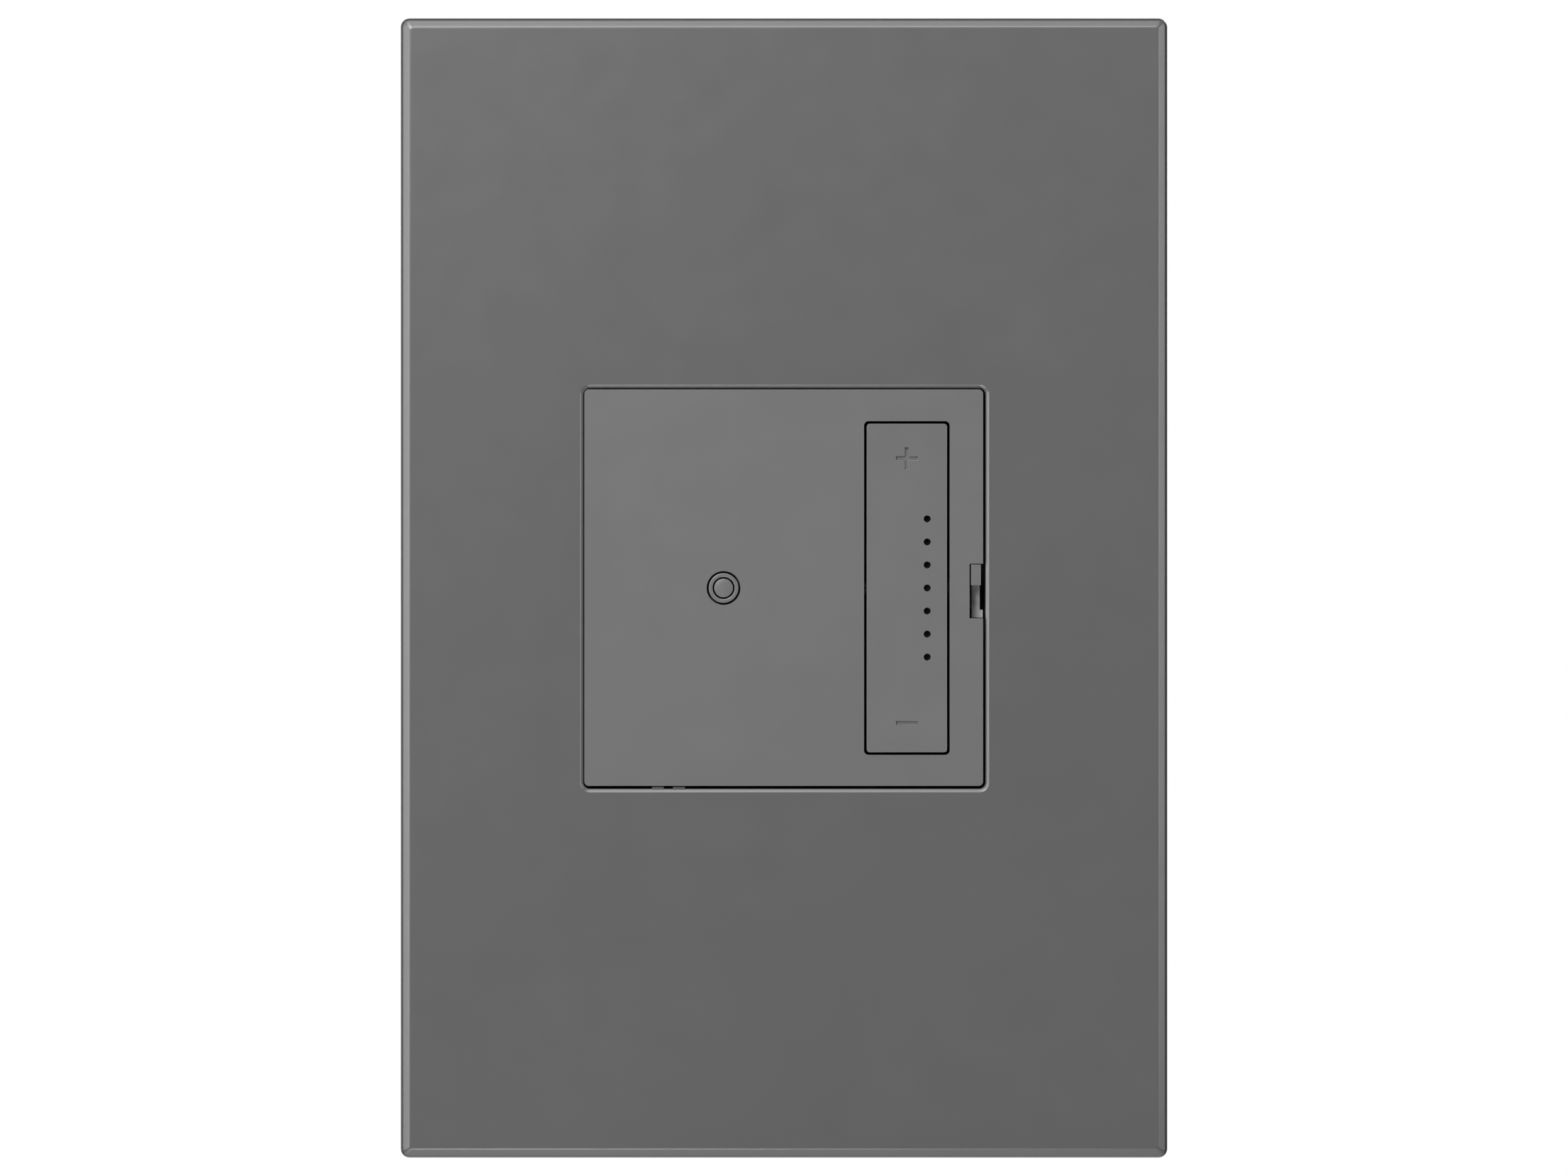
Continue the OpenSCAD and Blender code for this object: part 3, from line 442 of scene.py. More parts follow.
cap_tint = material("cap_plastic", (0.12, 0.12, 0.122), 0.36)
cap_shader = cap_tint.node_tree.nodes["Principled BSDF"]
cap_shader.inputs["Subsurface Weight"].default_value = CAP_GLOW
cap_shader.inputs["Subsurface Scale"].default_value = CAP_GLOW_DEPTH * MM
tint(cap_tint, pattern(cap_tint, "Noise", 500), (0.114, 0.114, 0.116), (0.126, 0.126, 0.128))
relief(cap_tint, pattern(cap_tint, "Noise", 6000), 0.01, 0.15)
foot_radius = cap_high.x - locator[0]
foot_front = cap_low.z + CAP_FLANGE
bm = bmesh.new()
turned(bm, locator, [(0, cap_low.z), (foot_radius, cap_low.z), (foot_radius, foot_front),
                     (CAP_RADIUS, foot_front), (CAP_RADIUS, cap_high.z - CAP_CROWN),
                     (CAP_RADIUS / 2, cap_high.z - CAP_CROWN / 4), (0, cap_high.z)])
soften(bm, sharp_edges(bm), RING_EDGE)
fit(bm, "locator_light_cap", "tap", "light_cap", cap_tint, "locator_cap")


# ---- Rocker bar ----
# A tall bar, dished along its length, that tips about a pin behind its middle: up to brighten and
# down to dim. A plus and a minus are sunk into its face, and seven small holes show the level
# lights through a strip of smoked light pipes pushed in from behind.
SIGN_EDGE = 0.03
HOLE_EDGE = 0.05
LIGHT_COLUMN = 16.35
HOLE_REACH = 0.6
COLUMN_REACH = 9
SIGNS_REACH = 17
SIDE_MARGIN = 1
FRONT_DEPTH = 0.75

rocker_low, rocker_high = lying("rocker_bar")
bm = copied("rocker_bar")
signs, holes, body_edges = [], [], []
for edge in sharp_edges(bm):
    spot = (edge.verts[0].co + edge.verts[1].co) / 2
    on_front = spot.z > rocker_high.z - FRONT_DEPTH
    margin = min(spot.x - rocker_low.x, rocker_high.x - spot.x)
    in_face = on_front and margin > SIDE_MARGIN and abs(spot.y) < SIGNS_REACH
    if in_face and abs(spot.x - LIGHT_COLUMN) < HOLE_REACH and abs(spot.y) < COLUMN_REACH:
        holes.append(edge)
    elif in_face:
        signs.append(edge)
    else:
        body_edges.append(edge)
soften(bm, body_edges, EDGE)
soften(bm, holes, HOLE_EDGE)
soften(bm, signs, SIGN_EDGE, 2)
fit(bm, "rocker_bar_moulding", "rocker", "face_plastic", insert_grey, "rocker_bar")

smoke = material("smoked_acrylic", (0.008, 0.008, 0.009), 0.12)
gloss(smoke, pattern(smoke, "Noise", 900), 0.09, 0.16)
tint(smoke, pattern(smoke, "Noise", 300), (0.007, 0.007, 0.008), (0.011, 0.011, 0.012))
bm = copied("level_lens_strip")
soften(bm, sharp_edges(bm), EDGE)
fit(bm, "level_light_pipes", "rocker", "smoked_lens", smoke, "level_lens_strip")


# ---- Service slide ----
# A small nub in a notch at the right edge of the face. Sliding it down takes a copper bridge off
# a fixed contact deep inside, which cuts the power for work on the lamp.
NUB_EDGE = 0.08
NUB_STANDS = 0.9
UPWARD = 0.5


def finished(node, name, body, slot, finish, radius=0.15, steps=3):
    """A piece with a CAD node's shape and rounded edges, in its place."""
    bm = copied(node)
    soften(bm, sharp_edges(bm), radius, steps)
    return fit(bm, name, body, slot, finish, node)


def metal(name, color, roughness, stretch=(1, 1, 1)):
    """Plated or bare metal: uneven shine and a fine grain, drawn out where it was brushed."""
    made = material(name, color, roughness, 1.0)
    tint(made, pattern(made, "Noise", 150, detail=3), shade(color, 0.93), shade(color, 1.05))
    gloss(made, pattern(made, "Noise", 800, stretch, detail=4), roughness * 0.9, roughness * 1.15)
    relief(made, pattern(made, "Noise", 2600, stretch, detail=2), 0.01, 0.1)
    return made


copper = metal("bare_copper", (0.72, 0.33, 0.18), 0.3, (1, 1, 8))
brass = metal("stamped_brass", (0.70, 0.50, 0.20), 0.3, (6, 1, 1))
# The upward faces of the tongue under the nub get a far paler copy of the grey plastic. This is
# painted light: it lifts the tongue out of the shade of the deep notch, though it is moulded in the
# same plastic as the nub.
tongue_top = lying("service_slider")[1].z - NUB_STANDS
pale_tongue_painted_light = satin_plastic("tongue_plastic_painted_light", (0.5, 0.5, 0.502))
bm = copied("service_slider")
soften(bm, sharp_edges(bm), NUB_EDGE)
bm.normal_update()
for face in bm.faces:
    sunken = face.calc_center_median().z < tongue_top
    face.material_index = int(sunken and face.normal.z > UPWARD)
fit(bm, "service_slide_nub", "slider", "face_plastic", (insert_grey, pale_tongue_painted_light), "service_slider")
finished("service_bridge", "service_bridge_strip", "slider", "copper", copper, 0.06, 2)
finished("service_contacts", "service_fixed_contacts", "base", "brass", brass, 0.05, 2)


# ---- Mounting frame ----
# A yoke stamped from sheet steel and zinc plated. Its rim is turned back to the wall, a tab for
# the ground wire is bent out of a window, and slots take the box screws and the plate's hooks.
# Large zinc crystals take the place of the plain mottle that other metals have.
zinc = metal("zinc_plating", (0.50, 0.52, 0.54), 0.42)
tint(zinc, pattern(zinc, "Voronoi", 260), (0.44, 0.46, 0.48), (0.53, 0.55, 0.56), 0.1, 0.8)
finished("mounting_frame", "mounting_frame_stamping", "base", "zinc_plate", zinc, 0.2)


# ---- Box and ground screws ----
# Two long machine screws, with domed heads and a cross recess, hold the frame to the wall box.
# Fibre washers keep them in it. A green screw with a hexagonal head takes the ground wire.
BOX_THREAD = 1.75
GROUND_THREAD = 1.88
THREAD_PITCH = 0.79
THREAD_STEPS = 20
THREAD_DEPTH = 0.5
RIDGE_ROOT = 0.9
CREST = 0.1
TURN_GAP = 0.02
BARE_TURNS = 2
NECK = 0.2
GROUND_TAB_BACK = -28.2
CUT_WIDTH = 0.0001


def upright_to(bm, verts, start, direction):
    """Turns what was made up the z axis to a direction, and moves its foot to a point."""
    turn = Vector((0, 0, 1)).rotation_difference(Vector(direction)).to_matrix()
    bmesh.ops.rotate(bm, cent=(0, 0, 0), matrix=turn, verts=verts)
    bmesh.ops.translate(bm, vec=start, verts=verts)


def threaded(bm, start, end, radius, pitch):
    """A threaded shank from one point to another: a core with a ridge wound round it."""
    there = Vector(end) - Vector(start)
    length = there.length
    before = set(bm.verts)
    root = radius - THREAD_DEPTH * pitch
    turned(bm, (0, 0), [(0, 0), (root, 0), (root, length - pitch), (root / 2, length), (0, length)],
           steps=32)
    foot = root * RIDGE_ROOT
    ridge = [bm.verts.new((r, 0, z)) for r, z in (
        (foot, pitch * TURN_GAP), (radius, pitch * (0.5 - CREST)),
        (radius, pitch * (0.5 + CREST)), (foot, pitch * (1 - TURN_GAP)))]
    turns = int(length / pitch) - BARE_TURNS
    bmesh.ops.spin(bm, geom=[bm.faces.new(ridge)], cent=(0, 0, 0), axis=(0, 0, 1),
                   dvec=(0, 0, pitch / THREAD_STEPS), angle=math.tau * turns,
                   steps=THREAD_STEPS * turns, use_merge=False)
    upright_to(bm, [vert for vert in bm.verts if vert not in before], start, there)


def cut_off(bm, point, direction):
    """Cuts away what lies beyond a plane, and closes the cut."""
    everything = list(bm.verts) + list(bm.edges) + list(bm.faces)
    bmesh.ops.bisect_plane(bm, geom=everything, dist=CUT_WIDTH, plane_co=point, plane_no=direction,
                           clear_outer=True)
    open_edges = [edge for edge in bm.edges if edge.is_boundary]
    bmesh.ops.holes_fill(bm, edges=open_edges, sides=0)


screw_steel = metal("plated_steel", (0.62, 0.62, 0.60), 0.26)
screws_low, screws_high = lying("box_screws")
head_radius = (screws_high.x - screws_low.x) / 2
screw_y = screws_high.y - head_radius
bm = copied("box_screws")
cut_off(bm, (0, 0, -NECK), (0, 0, -1))
soften(bm, sharp_edges(bm), EDGE)
for y in (-screw_y, screw_y):
    threaded(bm, (0, y, 0), (0, y, screws_low.z), BOX_THREAD, THREAD_PITCH)
fit(bm, "box_screws_threaded", "base", "screw_steel", screw_steel, "box_screws")

fibre = material("pressed_fibre", (0.55, 0.50, 0.36), 0.8)
pressed = pattern(fibre, "Noise", 900, (1, 1, 6), detail=5)
tint(fibre, pressed, (0.46, 0.41, 0.28), (0.62, 0.57, 0.42))
relief(fibre, pattern(fibre, "Noise", 1800, detail=4), 0.05, 0.5)
finished("screw_retainers", "screw_retaining_washers", "base", "retainer_plastic", fibre, 0.1)

green = metal("green_plating", (0.05, 0.36, 0.13), 0.28)
ground_low, ground_high = lying("ground_screw")
ground_x = (ground_low.x + ground_high.x) / 2
ground_z = (ground_low.z + ground_high.z) / 2
bm = copied("ground_screw")
cut_off(bm, (0, GROUND_TAB_BACK + NECK, 0), (0, 1, 0))
soften(bm, sharp_edges(bm), 0.15)
threaded(bm, (ground_x, GROUND_TAB_BACK, ground_z), (ground_x, ground_high.y, ground_z),
         GROUND_THREAD, THREAD_PITCH)
fit(bm, "ground_screw_threaded", "base", "green_steel", green, "ground_screw")


# ---- Front housing ----
# A black moulded shell. Its deck carries the hinge lugs, the switch posts pass through it, and
# four wedges on its sides latch behind the frame.
def moulded_black(name, color=(0.018, 0.018, 0.019), roughness=0.5):
    """Black moulded plastic with a spark-eroded grain and slightly uneven shine."""
    made = material(name, color, roughness)
    tint(made, pattern(made, "Noise", 120, detail=3), shade(color, 0.8), shade(color, 1.3))
    gloss(made, pattern(made, "Noise", 500, detail=4), roughness * 0.88, roughness * 1.14)
    relief(made, pattern(made, "Noise", 3200, detail=3), 0.03, 0.35)
    return made


black = moulded_black("housing_black")
finished("front_housing", "front_housing_shell", "base", "housing_plastic", black, 0.1)


# ---- Pins and springs ----
# Dark phosphated pins carry the tap plate and the rocker bar. Four small springs of bright wire,
# with closed ends, push them back to rest. Each coil is drawn as short as it gets, so that what
# presses on it has room to move.
WIRE = 0.17
SPRING_RADIUS = 1.6
SPRING_TURNS = 4
SPRING_STEPS = 28
WIRE_SIDES = 10
TAP_ROOM = 0.7
ROCKER_ROOM = 0.5

pin_steel = metal("phosphated_pin_steel", (0.10, 0.10, 0.105), 0.45, (1, 6, 6))
finished("tap_hinge_pin", "tap_hinge_pin_ground", "base", "screw_steel", pin_steel, 0.15)
finished("rocker_pin", "rocker_pin_ground", "base", "screw_steel", pin_steel, 0.15)
wire_steel = metal("spring_wire", (0.55, 0.55, 0.56), 0.2)
for node, room in (("tap_spring_left", TAP_ROOM), ("tap_spring_right", TAP_ROOM),
                   ("plus_spring", ROCKER_ROOM), ("minus_spring", ROCKER_ROOM)):
    low, high = lying(node)
    centre = ((low.x + high.x) / 2, (low.y + high.y) / 2, 0)
    bm = bmesh.new()
    section = bmesh.ops.create_circle(bm, cap_ends=True, segments=WIRE_SIDES, radius=WIRE)["verts"]
    bmesh.ops.rotate(bm, cent=(0, 0, 0), matrix=Matrix.Rotation(math.radians(90), 3, "X"),
                     verts=section)
    bmesh.ops.translate(bm, vec=(SPRING_RADIUS, 0, low.z + WIRE), verts=section)
    wound = section + list(section[0].link_faces) + list({e for v in section for e in v.link_edges})
    free_height = high.z - low.z - 2 * WIRE - room
    closed_rise = 2 * WIRE
    for turns, rise in ((1, closed_rise), (SPRING_TURNS, free_height - 2 * closed_rise),
                        (1, closed_rise)):
        wound = bmesh.ops.spin(bm, geom=wound, cent=(0, 0, 0), axis=(0, 0, 1),
                               dvec=(0, 0, rise / (turns * SPRING_STEPS)), angle=math.tau * turns,
                               steps=turns * SPRING_STEPS, use_merge=False)["geom_last"]
    bmesh.ops.translate(bm, vec=centre, verts=bm.verts)
    fit(bm, node + "_coil", "base", "spring_steel", wire_steel, node)


# ---- Control board ----
# A glass fibre board under green solder mask. It carries the three push switches, the lights and
# the controller chip, and a pin connector joins it to the power board.
TRACK_SCALE = 420
BOARD_EDGE = 0.08
JOINT = ((0, -0.05), (0.75, -0.05), (0.75, 0), (0.45, 0.22), (0.3, 0.6), (0, 0.68))
BUTTON_RADIUS = 0.8
BUTTON_FLANGE = 1.3
BUTTON_FLANGE_T = 0.3
BUTTON_DOME = 0.12
LEVEL_LAMPS = 7
LEVEL_HALF = (0.8, 0.4)
LOCATOR_HALF = (0.8, 0.6)
LAMP_BASE = 0.35
LAMP_TOP = (0.62, 0.85)
LAMP_END = 0.12
CHIP_BODY = 5.6
CHIP_STANDOFF = 0.12
CHIP_LEG_W = 0.26
CHIP_LEG_PITCH = 0.65
CHIP_LEG_T = 0.12
CHIP_LEG_ROOT = 0.2
CHIP_LEGS = 8
CONNECTOR_PINS = 6
CONNECTOR_PITCH = 1.5
CONNECTOR_HOUSING = 2.6
PIN_HALF = 0.25
PIN_END = 1


def paint(verts, index):
    """Gives the faces of some vertices another of the piece's finishes."""
    for face in {face for vert in verts for face in vert.link_faces}:
        face.material_index = index


def solder(bm, x, y, z, way):
    """A solder joint: a small cone with hollow sides round the end of a lead."""
    before = set(bm.verts)
    turned(bm, (0, 0), JOINT, steps=16)
    made = [vert for vert in bm.verts if vert not in before]
    upright_to(bm, made, (x, y, z), (0, 0, way))
    paint(made, 1)


mask = material("solder_mask", (0.008, 0.085, 0.035), 0.25)
tracks = pattern(mask, "Brick", TRACK_SCALE, mortar_size=0.06, bias=0.0)
tint(mask, tracks, (0.006, 0.07, 0.028), (0.02, 0.17, 0.07), 0.2, 0.8)
gloss(mask, pattern(mask, "Noise", 600, detail=3), 0.2, 0.34)
relief(mask, pattern(mask, "Noise", 2500, detail=2), 0.02, 0.3)
tin = metal("tinned_metal", (0.72, 0.72, 0.70), 0.28)
control_front = lying("control_board")[1].z
connector_low, connector_high = lying("board_connector")
connector_y = (connector_low.y + connector_high.y) / 2
pin_places = [(i - (CONNECTOR_PINS - 1) / 2) * CONNECTOR_PITCH for i in range(CONNECTOR_PINS)]
bm = copied("control_board")
soften(bm, sharp_edges(bm), BOARD_EDGE, 2)
for x in pin_places:
    solder(bm, x, connector_y, control_front, 1)
fit(bm, "control_board_assembly", "base", "board", (mask, tin), "control_board")

epoxy = moulded_black("moulded_epoxy", (0.014, 0.014, 0.015), 0.42)
ivory = material("ivory_plastic", (0.60, 0.60, 0.56), 0.45)
tint(ivory, pattern(ivory, "Noise", 900), (0.56, 0.56, 0.52), (0.63, 0.63, 0.60))
relief(ivory, pattern(ivory, "Noise", 4000), 0.01, 0.2)
for kind, body in (("tap", "tap_plunger"), ("plus", "plus_plunger"), ("minus", "minus_plunger")):
    finished(kind + "_switch_body", kind + "_switch_box", "base", "component_plastic", epoxy, 0.12)
    low, high = lying(kind + "_switch_plunger")
    middle = ((low.x + high.x) / 2, (low.y + high.y) / 2)
    bm = bmesh.new()
    flange_top = low.z + BUTTON_FLANGE_T
    turned(bm, middle, [(0, low.z), (BUTTON_FLANGE, low.z), (BUTTON_FLANGE, flange_top),
                        (BUTTON_RADIUS, flange_top), (BUTTON_RADIUS, high.z - BUTTON_DOME),
                        (BUTTON_RADIUS / 2, high.z - BUTTON_DOME / 4), (0, high.z)], steps=32)
    soften(bm, sharp_edges(bm), 0.06, 2)
    fit(bm, kind + "_switch_button", body, "plunger_plastic", ivory, kind + "_switch_plunger")

lamp_white = material("lamp_housing", (0.78, 0.76, 0.64), 0.3)
tint(lamp_white, pattern(lamp_white, "Noise", 800), (0.74, 0.72, 0.58), (0.80, 0.79, 0.68))
level_low, level_high = lying("level_leds")
locator_low, locator_high = lying("locator_led")
level_pitch = (level_high.y - level_low.y - 2 * LEVEL_HALF[1]) / (LEVEL_LAMPS - 1)
level_x = (level_low.x + level_high.x) / 2
level_y = level_low.y + LEVEL_HALF[1]
level_sites = [(level_x, level_y + i * level_pitch) for i in range(LEVEL_LAMPS)]


def lamps(node, name, sites, half, low_z, high_z):
    """Small surface lamps: a pale base with tinned ends and a narrower top."""
    bm = bmesh.new()
    top = (half[0] * LAMP_TOP[0], half[1] * LAMP_TOP[1])
    for x, y in sites:
        block(bm, (x - half[0], y - half[1], low_z), (x + half[0], y + half[1], low_z + LAMP_BASE))
        block(bm, (x - top[0], y - top[1], low_z + LAMP_BASE / 2), (x + top[0], y + top[1], high_z))
    soften(bm, sharp_edges(bm), 0.07, 2)
    for face in bm.faces:
        spot = face.calc_center_median()
        if any(abs(abs(spot.x - x) - half[0]) < LAMP_END and abs(spot.y - y) <= half[1]
               for x, y in sites):
            face.material_index = 1
    fit(bm, name, "base", "led_plastic", (lamp_white, tin), node)


lamps("level_leds", "level_lamps", level_sites, LEVEL_HALF, level_low.z, level_high.z)
lamps("locator_led", "locator_lamp", [locator], LOCATOR_HALF, locator_low.z, locator_high.z)

chip_low, chip_high = lying("controller_chip")
chip_x, chip_y = (chip_low.x + chip_high.x) / 2, (chip_low.y + chip_high.y) / 2
leg_reach = (chip_high.x - chip_low.x) / 2
leg_top = (chip_low.z + chip_high.z) / 2
body_half = CHIP_BODY / 2
shoulder = (body_half + leg_reach) / 2
bm = bmesh.new()
block(bm, (-body_half, -body_half, chip_low.z),
      (body_half, body_half, chip_high.z - CHIP_STANDOFF))
soften(bm, sharp_edges(bm), 0.12, 2)
legs = []
for i in range(CHIP_LEGS):
    y = (i - (CHIP_LEGS - 1) / 2) * CHIP_LEG_PITCH
    for low_x, high_x, low_z, high_z in (
            (body_half - CHIP_LEG_ROOT, shoulder, leg_top - CHIP_LEG_T, leg_top),
            (shoulder - CHIP_LEG_T, shoulder, leg_top - CHIP_LEG_T, chip_high.z),
            (shoulder - CHIP_LEG_T, leg_reach, chip_high.z - CHIP_LEG_T, chip_high.z)):
        for turn in range(4):
            made = block(bm, (low_x, y - CHIP_LEG_W / 2, low_z), (high_x, y + CHIP_LEG_W / 2, high_z))
            bmesh.ops.rotate(bm, cent=(0, 0, 0), verts=made,
                             matrix=Matrix.Rotation(math.radians(90 * turn), 3, "Z"))
            legs += made
paint(legs, 1)
bmesh.ops.translate(bm, vec=(chip_x, chip_y, 0), verts=bm.verts)
fit(bm, "controller_chip_package", "base", "component_plastic", (epoxy, tin), "controller_chip")

bm = bmesh.new()
for z in (connector_low.z, connector_high.z - CONNECTOR_HOUSING):
    block(bm, (connector_low.x, connector_low.y, z),
          (connector_high.x, connector_high.y, z + CONNECTOR_HOUSING))
soften(bm, sharp_edges(bm), 0.15, 2)
for x in pin_places:
    paint(block(bm, (x - PIN_HALF, connector_y - PIN_HALF, connector_low.z + PIN_END),
                (x + PIN_HALF, connector_y + PIN_HALF, connector_high.z - PIN_END)), 1)
fit(bm, "board_connector_header", "base", "component_plastic", (epoxy, tin), "board_connector")


# ---- Heat sink and switching device ----
# An aluminium plate between the two housing halves carries the heat away. The switching device is
# screwed to it over a soft grey pad, and its three legs reach down to the power board.
# The bare tab stands above this height, and the legs show this far up from their ends.
TRIAC_TAB_Y = -0.55
TRIAC_LEGS = 1.65

aluminium = metal("milled_aluminium", (0.74, 0.75, 0.76), 0.3, (1, 1, 14))
pad_grey = material("silicone_pad", (0.30, 0.36, 0.44), 0.75)
tint(pad_grey, pattern(pad_grey, "Noise", 700, detail=4), (0.27, 0.33, 0.41), (0.33, 0.39, 0.47))
relief(pad_grey, pattern(pad_grey, "Voronoi", 1600), 0.03, 0.4)
finished("heat_sink", "heat_sink_plate", "base", "aluminium_plate", aluminium, 0.15)
finished("thermal_pad", "thermal_pad_sheet", "base", "thermal_rubber", pad_grey, 0.05, 2)
legs_y = lying("triac")[0].y + TRIAC_LEGS
bm = copied("triac")
soften(bm, sharp_edges(bm), 0.12, 2)
for face in bm.faces:
    spot = face.calc_center_median()
    if spot.y > TRIAC_TAB_Y or spot.y < legs_y:
        face.material_index = 1
fit(bm, "switching_triac", "base", "component_plastic", (epoxy, tin), "triac")
finished("triac_screw", "triac_fixing_screw", "base", "screw_steel", screw_steel, 0.08, 2)


# ---- Power board ----
# The second board carries the filter: a copper winding on a ferrite ring, a boxed film capacitor,
# a can capacitor, a round fuse and a blue varistor, all soldered on its front side.
WINDING_TURNS = 14
WINDING_WIRE = 0.3
WINDING_CLEARANCE = 0.08
WINDING_START = 120
WINDING_ARC = 300
WINDING_POINTS = 24
LEAD_RADIUS = 0.3
LEAD_PAST = 0.5
LEAD_INSIDE = 0.8
FILM_LEADS = 5
CAN_LEADS = 1.75
FUSE_LEADS = 2.5
DISC_LEADS = 2.5
FILM_EDGE = 0.5
FILM_LEAD_INSIDE = 1
FOOT = 0.8
FOOT_INSET = 0.6
FOOT_HEIGHT = 0.4
# The ends of a can, as insets from its radius and distances from its top or its foot.
CAN_TOP = ((0.9, 0.25), (0.7, 0.05), (0.4, 0), (0.1, 0.12), (0, 0.45))
CAN_FOOT = ((0, 2.9), (0.12, 2.65), (0.35, 2.4), (0.35, 2.2), (0.12, 1.95), (0, 1.7), (0, 0.5),
            (0.4, 0.3), (0.8, 0.35))
CAN_BARE = 0.27
FUSE_TOP = ((0.5, 0), (0.1, 0.15), (0, 0.5))
FUSE_FOOT = ((0, 1.5), (0.2, 1.4), (0.2, 1.1), (0, 1), (0, 0.3))
DISC_DOME = 0.06
NECK_RADIUS = (0.9, 0.8, 0.4)
NECK_LENGTH = (0, 3.6, 4.6, 4.7)
DISC_LEAD_START = 3


def lead_pair(middle, half):
    """The places of a component's two leads, on each side of its middle."""
    return [(middle.x, middle.y - half), (middle.x, middle.y + half)]


def lead(bm, x, y, start_z):
    """A round tinned wire from inside a component, through the board to its solder joint."""
    before = set(bm.verts)
    end_z = power_high.z + LEAD_PAST
    turned(bm, (x, y), [(0, start_z), (LEAD_RADIUS, start_z), (LEAD_RADIUS, end_z), (0, end_z)],
           steps=12)
    paint([vert for vert in bm.verts if vert not in before], 1)


def can_shape(bm, middle, radius, low_z, high_z, top, foot):
    """A closed round can that stands on the board, turned from the outlines of its two ends."""
    profile = [(0, low_z + top[0][1])]
    profile += [(radius - inset, low_z + down) for inset, down in top]
    profile += [(radius - inset, high_z - up) for inset, up in foot]
    profile.append((0, high_z - foot[-1][1]))
    turned(bm, (middle.x, middle.y), profile)


power_low, power_high = lying("power_board")
core_low, core_high = lying("choke_core")
film_low, film_high = lying("film_capacitor")
can_low, can_high = lying("bulk_capacitor")
fuse_low, fuse_high = lying("fuse")
varistor_low, varistor_high = lying("varistor")
core = (core_low + core_high) / 2
film = (film_low + film_high) / 2
can = (can_low + can_high) / 2
fuse = (fuse_low + fuse_high) / 2
disc = (varistor_low + varistor_high) / 2
film_leads = lead_pair(film, FILM_LEADS)
can_leads = lead_pair(can, CAN_LEADS)
fuse_leads = lead_pair(fuse, FUSE_LEADS)
disc_leads = lead_pair(disc, DISC_LEADS)
bm = copied("power_board")
soften(bm, sharp_edges(bm), BOARD_EDGE, 2)
for x, y in film_leads + can_leads + fuse_leads + disc_leads:
    solder(bm, x, y, power_high.z, 1)
for x in pin_places:
    solder(bm, x, connector_y, power_low.z, -1)
fit(bm, "power_board_assembly", "base", "board", (mask, tin), "power_board")

ferrite = material("coated_ferrite", (0.05, 0.055, 0.05), 0.6)
tint(ferrite, pattern(ferrite, "Noise", 1500, detail=5), (0.03, 0.034, 0.03), (0.085, 0.09, 0.08))
relief(ferrite, pattern(ferrite, "Noise", 2200, detail=4), 0.05, 0.5)
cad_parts["choke_core"].material_slots[0].material = ferrite

enamel = metal("enamelled_copper", (0.62, 0.24, 0.10), 0.22)
core_radius = (core_high.z - core_low.z) / 2
ring_radius = (core_high.x - core_low.x) / 2 - core_radius
turn_radius = core_radius + WINDING_WIRE + WINDING_CLEARANCE
points = []
winding_steps = WINDING_TURNS * WINDING_POINTS
for i in range(winding_steps + 1):
    round_ring = math.radians(WINDING_START + WINDING_ARC * i / winding_steps)
    round_core = math.tau * i / WINDING_POINTS
    reach = ring_radius + turn_radius * math.cos(round_core)
    points.append(core + Vector((reach * math.cos(round_ring), reach * math.sin(round_ring),
                                 turn_radius * math.sin(round_core))))
wire = bpy.data.curves.new("choke_winding_wire", "CURVE")
wire.dimensions = "3D"
wire.bevel_depth = WINDING_WIRE * MM
wire.bevel_resolution = 3
wire.use_fill_caps = True
run = wire.splines.new("POLY")
run.points.add(len(points) - 1)
for point, place in zip(run.points, points):
    point.co = (place.x * MM, -place.z * MM, place.y * MM, 1)
wire.materials.append(enamel)
winding = bpy.data.objects.new("choke_winding_wire", wire)
bpy.context.collection.objects.link(winding)
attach(winding, "base")
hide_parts("choke_winding")

yellow = material("capacitor_box", (0.60, 0.42, 0.05), 0.35)
tint(yellow, pattern(yellow, "Noise", 300), (0.55, 0.38, 0.04), (0.64, 0.46, 0.07))
relief(yellow, pattern(yellow, "Noise", 2500), 0.02, 0.25)
bm = bmesh.new()
block(bm, film_low, (film_high.x, film_high.y, film_high.z - FOOT_HEIGHT))
soften(bm, sharp_edges(bm), FILM_EDGE, 4)
for x in (film_low.x + FOOT_INSET, film_high.x - FOOT_INSET - FOOT):
    for y in (film_low.y + FOOT_INSET, film_high.y - FOOT_INSET - FOOT):
        block(bm, (x, y, film_high.z - 2 * FOOT_HEIGHT), (x + FOOT, y + FOOT, film_high.z))
for x, y in film_leads:
    lead(bm, x, y, film_high.z - FILM_LEAD_INSIDE)
fit(bm, "film_capacitor_box", "base", "film_yellow", (yellow, tin), "film_capacitor")

sleeve = material("shrunk_sleeve", (0.02, 0.03, 0.10), 0.24)
tint(sleeve, pattern(sleeve, "Noise", 200), (0.016, 0.025, 0.085), (0.026, 0.037, 0.12))
gloss(sleeve, pattern(sleeve, "Noise", 400, (1, 6, 1)), 0.18, 0.3)
can_radius = can_high.x - can.x
bm = bmesh.new()
can_shape(bm, can, can_radius, can_low.z, can_high.z, CAN_TOP, CAN_FOOT)
paint([vert for vert in bm.verts if vert.co.z < can_low.z + CAN_BARE
       and math.hypot(vert.co.x - can.x, vert.co.y - can.y) < can_radius - CAN_FOOT[-1][0]], 1)
for x, y in can_leads:
    lead(bm, x, y, can_high.z - LEAD_INSIDE)
fit(bm, "bulk_capacitor_can", "base", "capacitor_sleeve", (sleeve, tin), "bulk_capacitor")

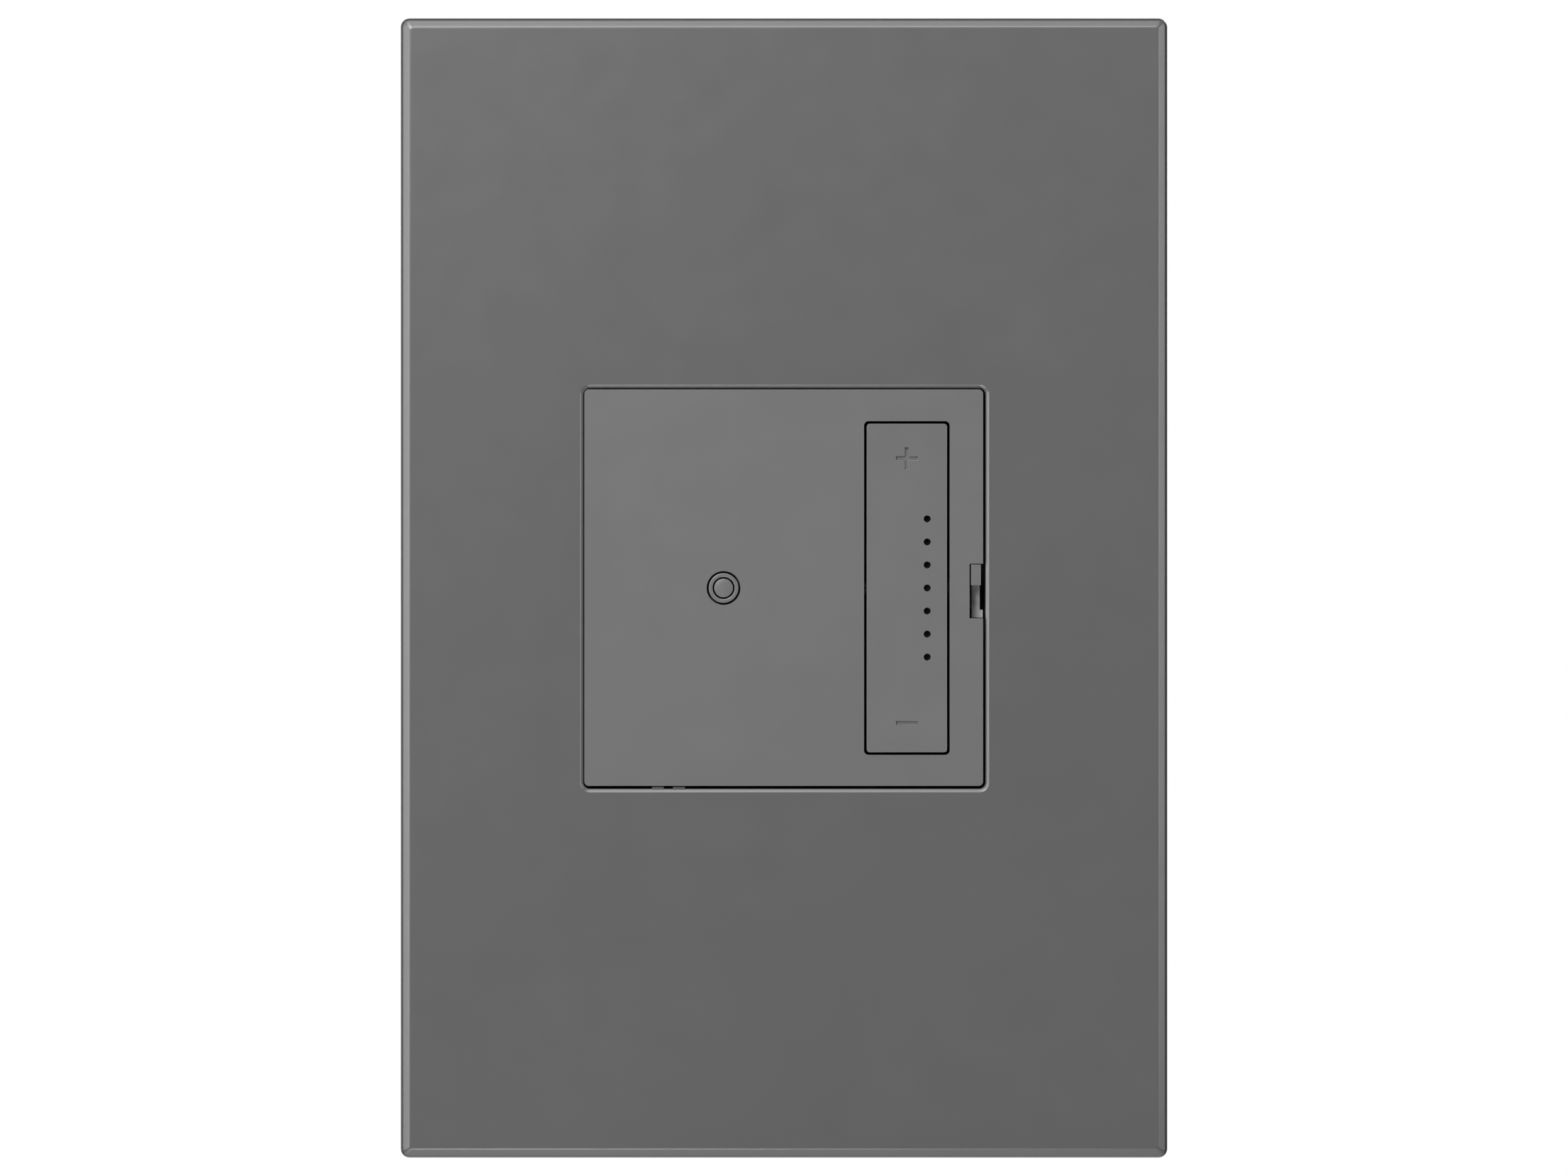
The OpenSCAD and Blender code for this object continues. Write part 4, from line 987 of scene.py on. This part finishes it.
fuse_radius = fuse_high.x - fuse.x
bm = bmesh.new()
can_shape(bm, fuse, fuse_radius, fuse_low.z, fuse_high.z, FUSE_TOP, FUSE_FOOT)
for x, y in fuse_leads:
    lead(bm, x, y, fuse_high.z - LEAD_INSIDE)
fit(bm, "fuse_cartridge", "base", "component_plastic", (epoxy, tin), "fuse")

blue = material("dipped_coating", (0.02, 0.08, 0.30), 0.3)
tint(blue, pattern(blue, "Noise", 250, detail=3), (0.016, 0.068, 0.26), (0.026, 0.10, 0.36))
relief(blue, pattern(blue, "Noise", 500, detail=3), 0.06, 0.4)
disc_radius = (varistor_high.y - varistor_low.y) / 2
disc_z = varistor_low.z + disc_radius
thick = varistor_high.x - varistor_low.x
bm = bmesh.new()
one_face = [(0, 0), (disc_radius * 0.7, DISC_DOME), (disc_radius * 0.9, thick * 0.12),
            (disc_radius * 0.98, thick * 0.3)]
other_face = [(radius, thick - height) for radius, height in reversed(one_face)]
turned(bm, (0, 0), one_face + [(disc_radius, thick / 2)] + other_face)
upright_to(bm, bm.verts, (varistor_low.x, disc.y, disc_z), (1, 0, 0))
for x, y in disc_leads:
    neck = [(0, disc_z)]
    neck += [(radius, disc_z + down) for radius, down in zip(NECK_RADIUS, NECK_LENGTH)]
    turned(bm, (x, y), neck + [(0, disc_z + NECK_LENGTH[-1])], steps=20)
    lead(bm, x, y, disc_z + DISC_LEAD_START)
fit(bm, "varistor_disc", "base", "varistor_blue", (blue, tin), "varistor")


# ---- Rear housing ----
# The deep black shell that goes into the wall box. Wire holes open on its back, each under a
# terminal, and four screws in deep wells pull it up against the heat sink and the front housing.
finished("rear_housing", "rear_housing_shell", "base", "housing_plastic", black, 0.18)
finished("housing_screws", "housing_fixing_screws", "base", "screw_steel", screw_steel, 0.06, 2)


# ---- Terminals ----
# Each wire is gripped between a fixed brass plate and a loose clamp by a domed screw. The line
# screw is blackened, the load and traveller screws are brass, so that they can't be mixed up.
TERMINAL_THREAD = 1.58
TERMINAL_PITCH = 0.8
HEAD_BACK = 19.7
HEAD_NECK = 0.1
SHANK_END = 13.9

black_oxide = metal("black_oxide", (0.035, 0.035, 0.036), 0.36)
for site, finish, slot in (("line", black_oxide, "black_steel"), ("load", brass, "brass"),
                           ("traveller", brass, "brass")):
    finished(site + "_terminal_plate", site + "_fixed_plate", "base", "brass", brass, 0.12, 2)
    finished(site + "_terminal_clamp", site + "_wire_clamp", "base", "brass", brass, 0.15, 2)
    low, high = lying(site + "_terminal_screw")
    middle = (low + high) / 2
    way = 1 if middle.x > 0 else -1
    bm = copied(site + "_terminal_screw")
    cut_off(bm, (way * (HEAD_BACK - HEAD_NECK), 0, 0), (-way, 0, 0))
    soften(bm, sharp_edges(bm), 0.1, 2)
    threaded(bm, (way * (HEAD_BACK - HEAD_NECK / 2), middle.y, middle.z),
             (way * SHANK_END, middle.y, middle.z), TERMINAL_THREAD, TERMINAL_PITCH)
    fit(bm, site + "_clamping_screw", "base", slot, finish, site + "_terminal_screw")


# ---- Floor ----
# A small pale studio floor of painted board. It lies well below the dimmer, which hangs free as on
# a wall.
FLOOR_HALF = 0.3
FLOOR_TOP = -0.3
FLOOR_THICKNESS = 0.007

bm = bmesh.new()
block(bm, (-FLOOR_HALF, -FLOOR_HALF, FLOOR_TOP - FLOOR_THICKNESS),
      (FLOOR_HALF, FLOOR_HALF, FLOOR_TOP))
mesh = bpy.data.meshes.new("floor")
bm.to_mesh(mesh)
bm.free()
floor = bpy.data.objects.new("floor", mesh)
floor_paint = material("floor_paint", (0.82, 0.82, 0.81), 0.7)
tint(floor_paint, pattern(floor_paint, "Noise", 30), (0.80, 0.80, 0.79), (0.84, 0.84, 0.83))
mesh.materials.append(floor_paint)
bpy.context.collection.objects.link(floor)
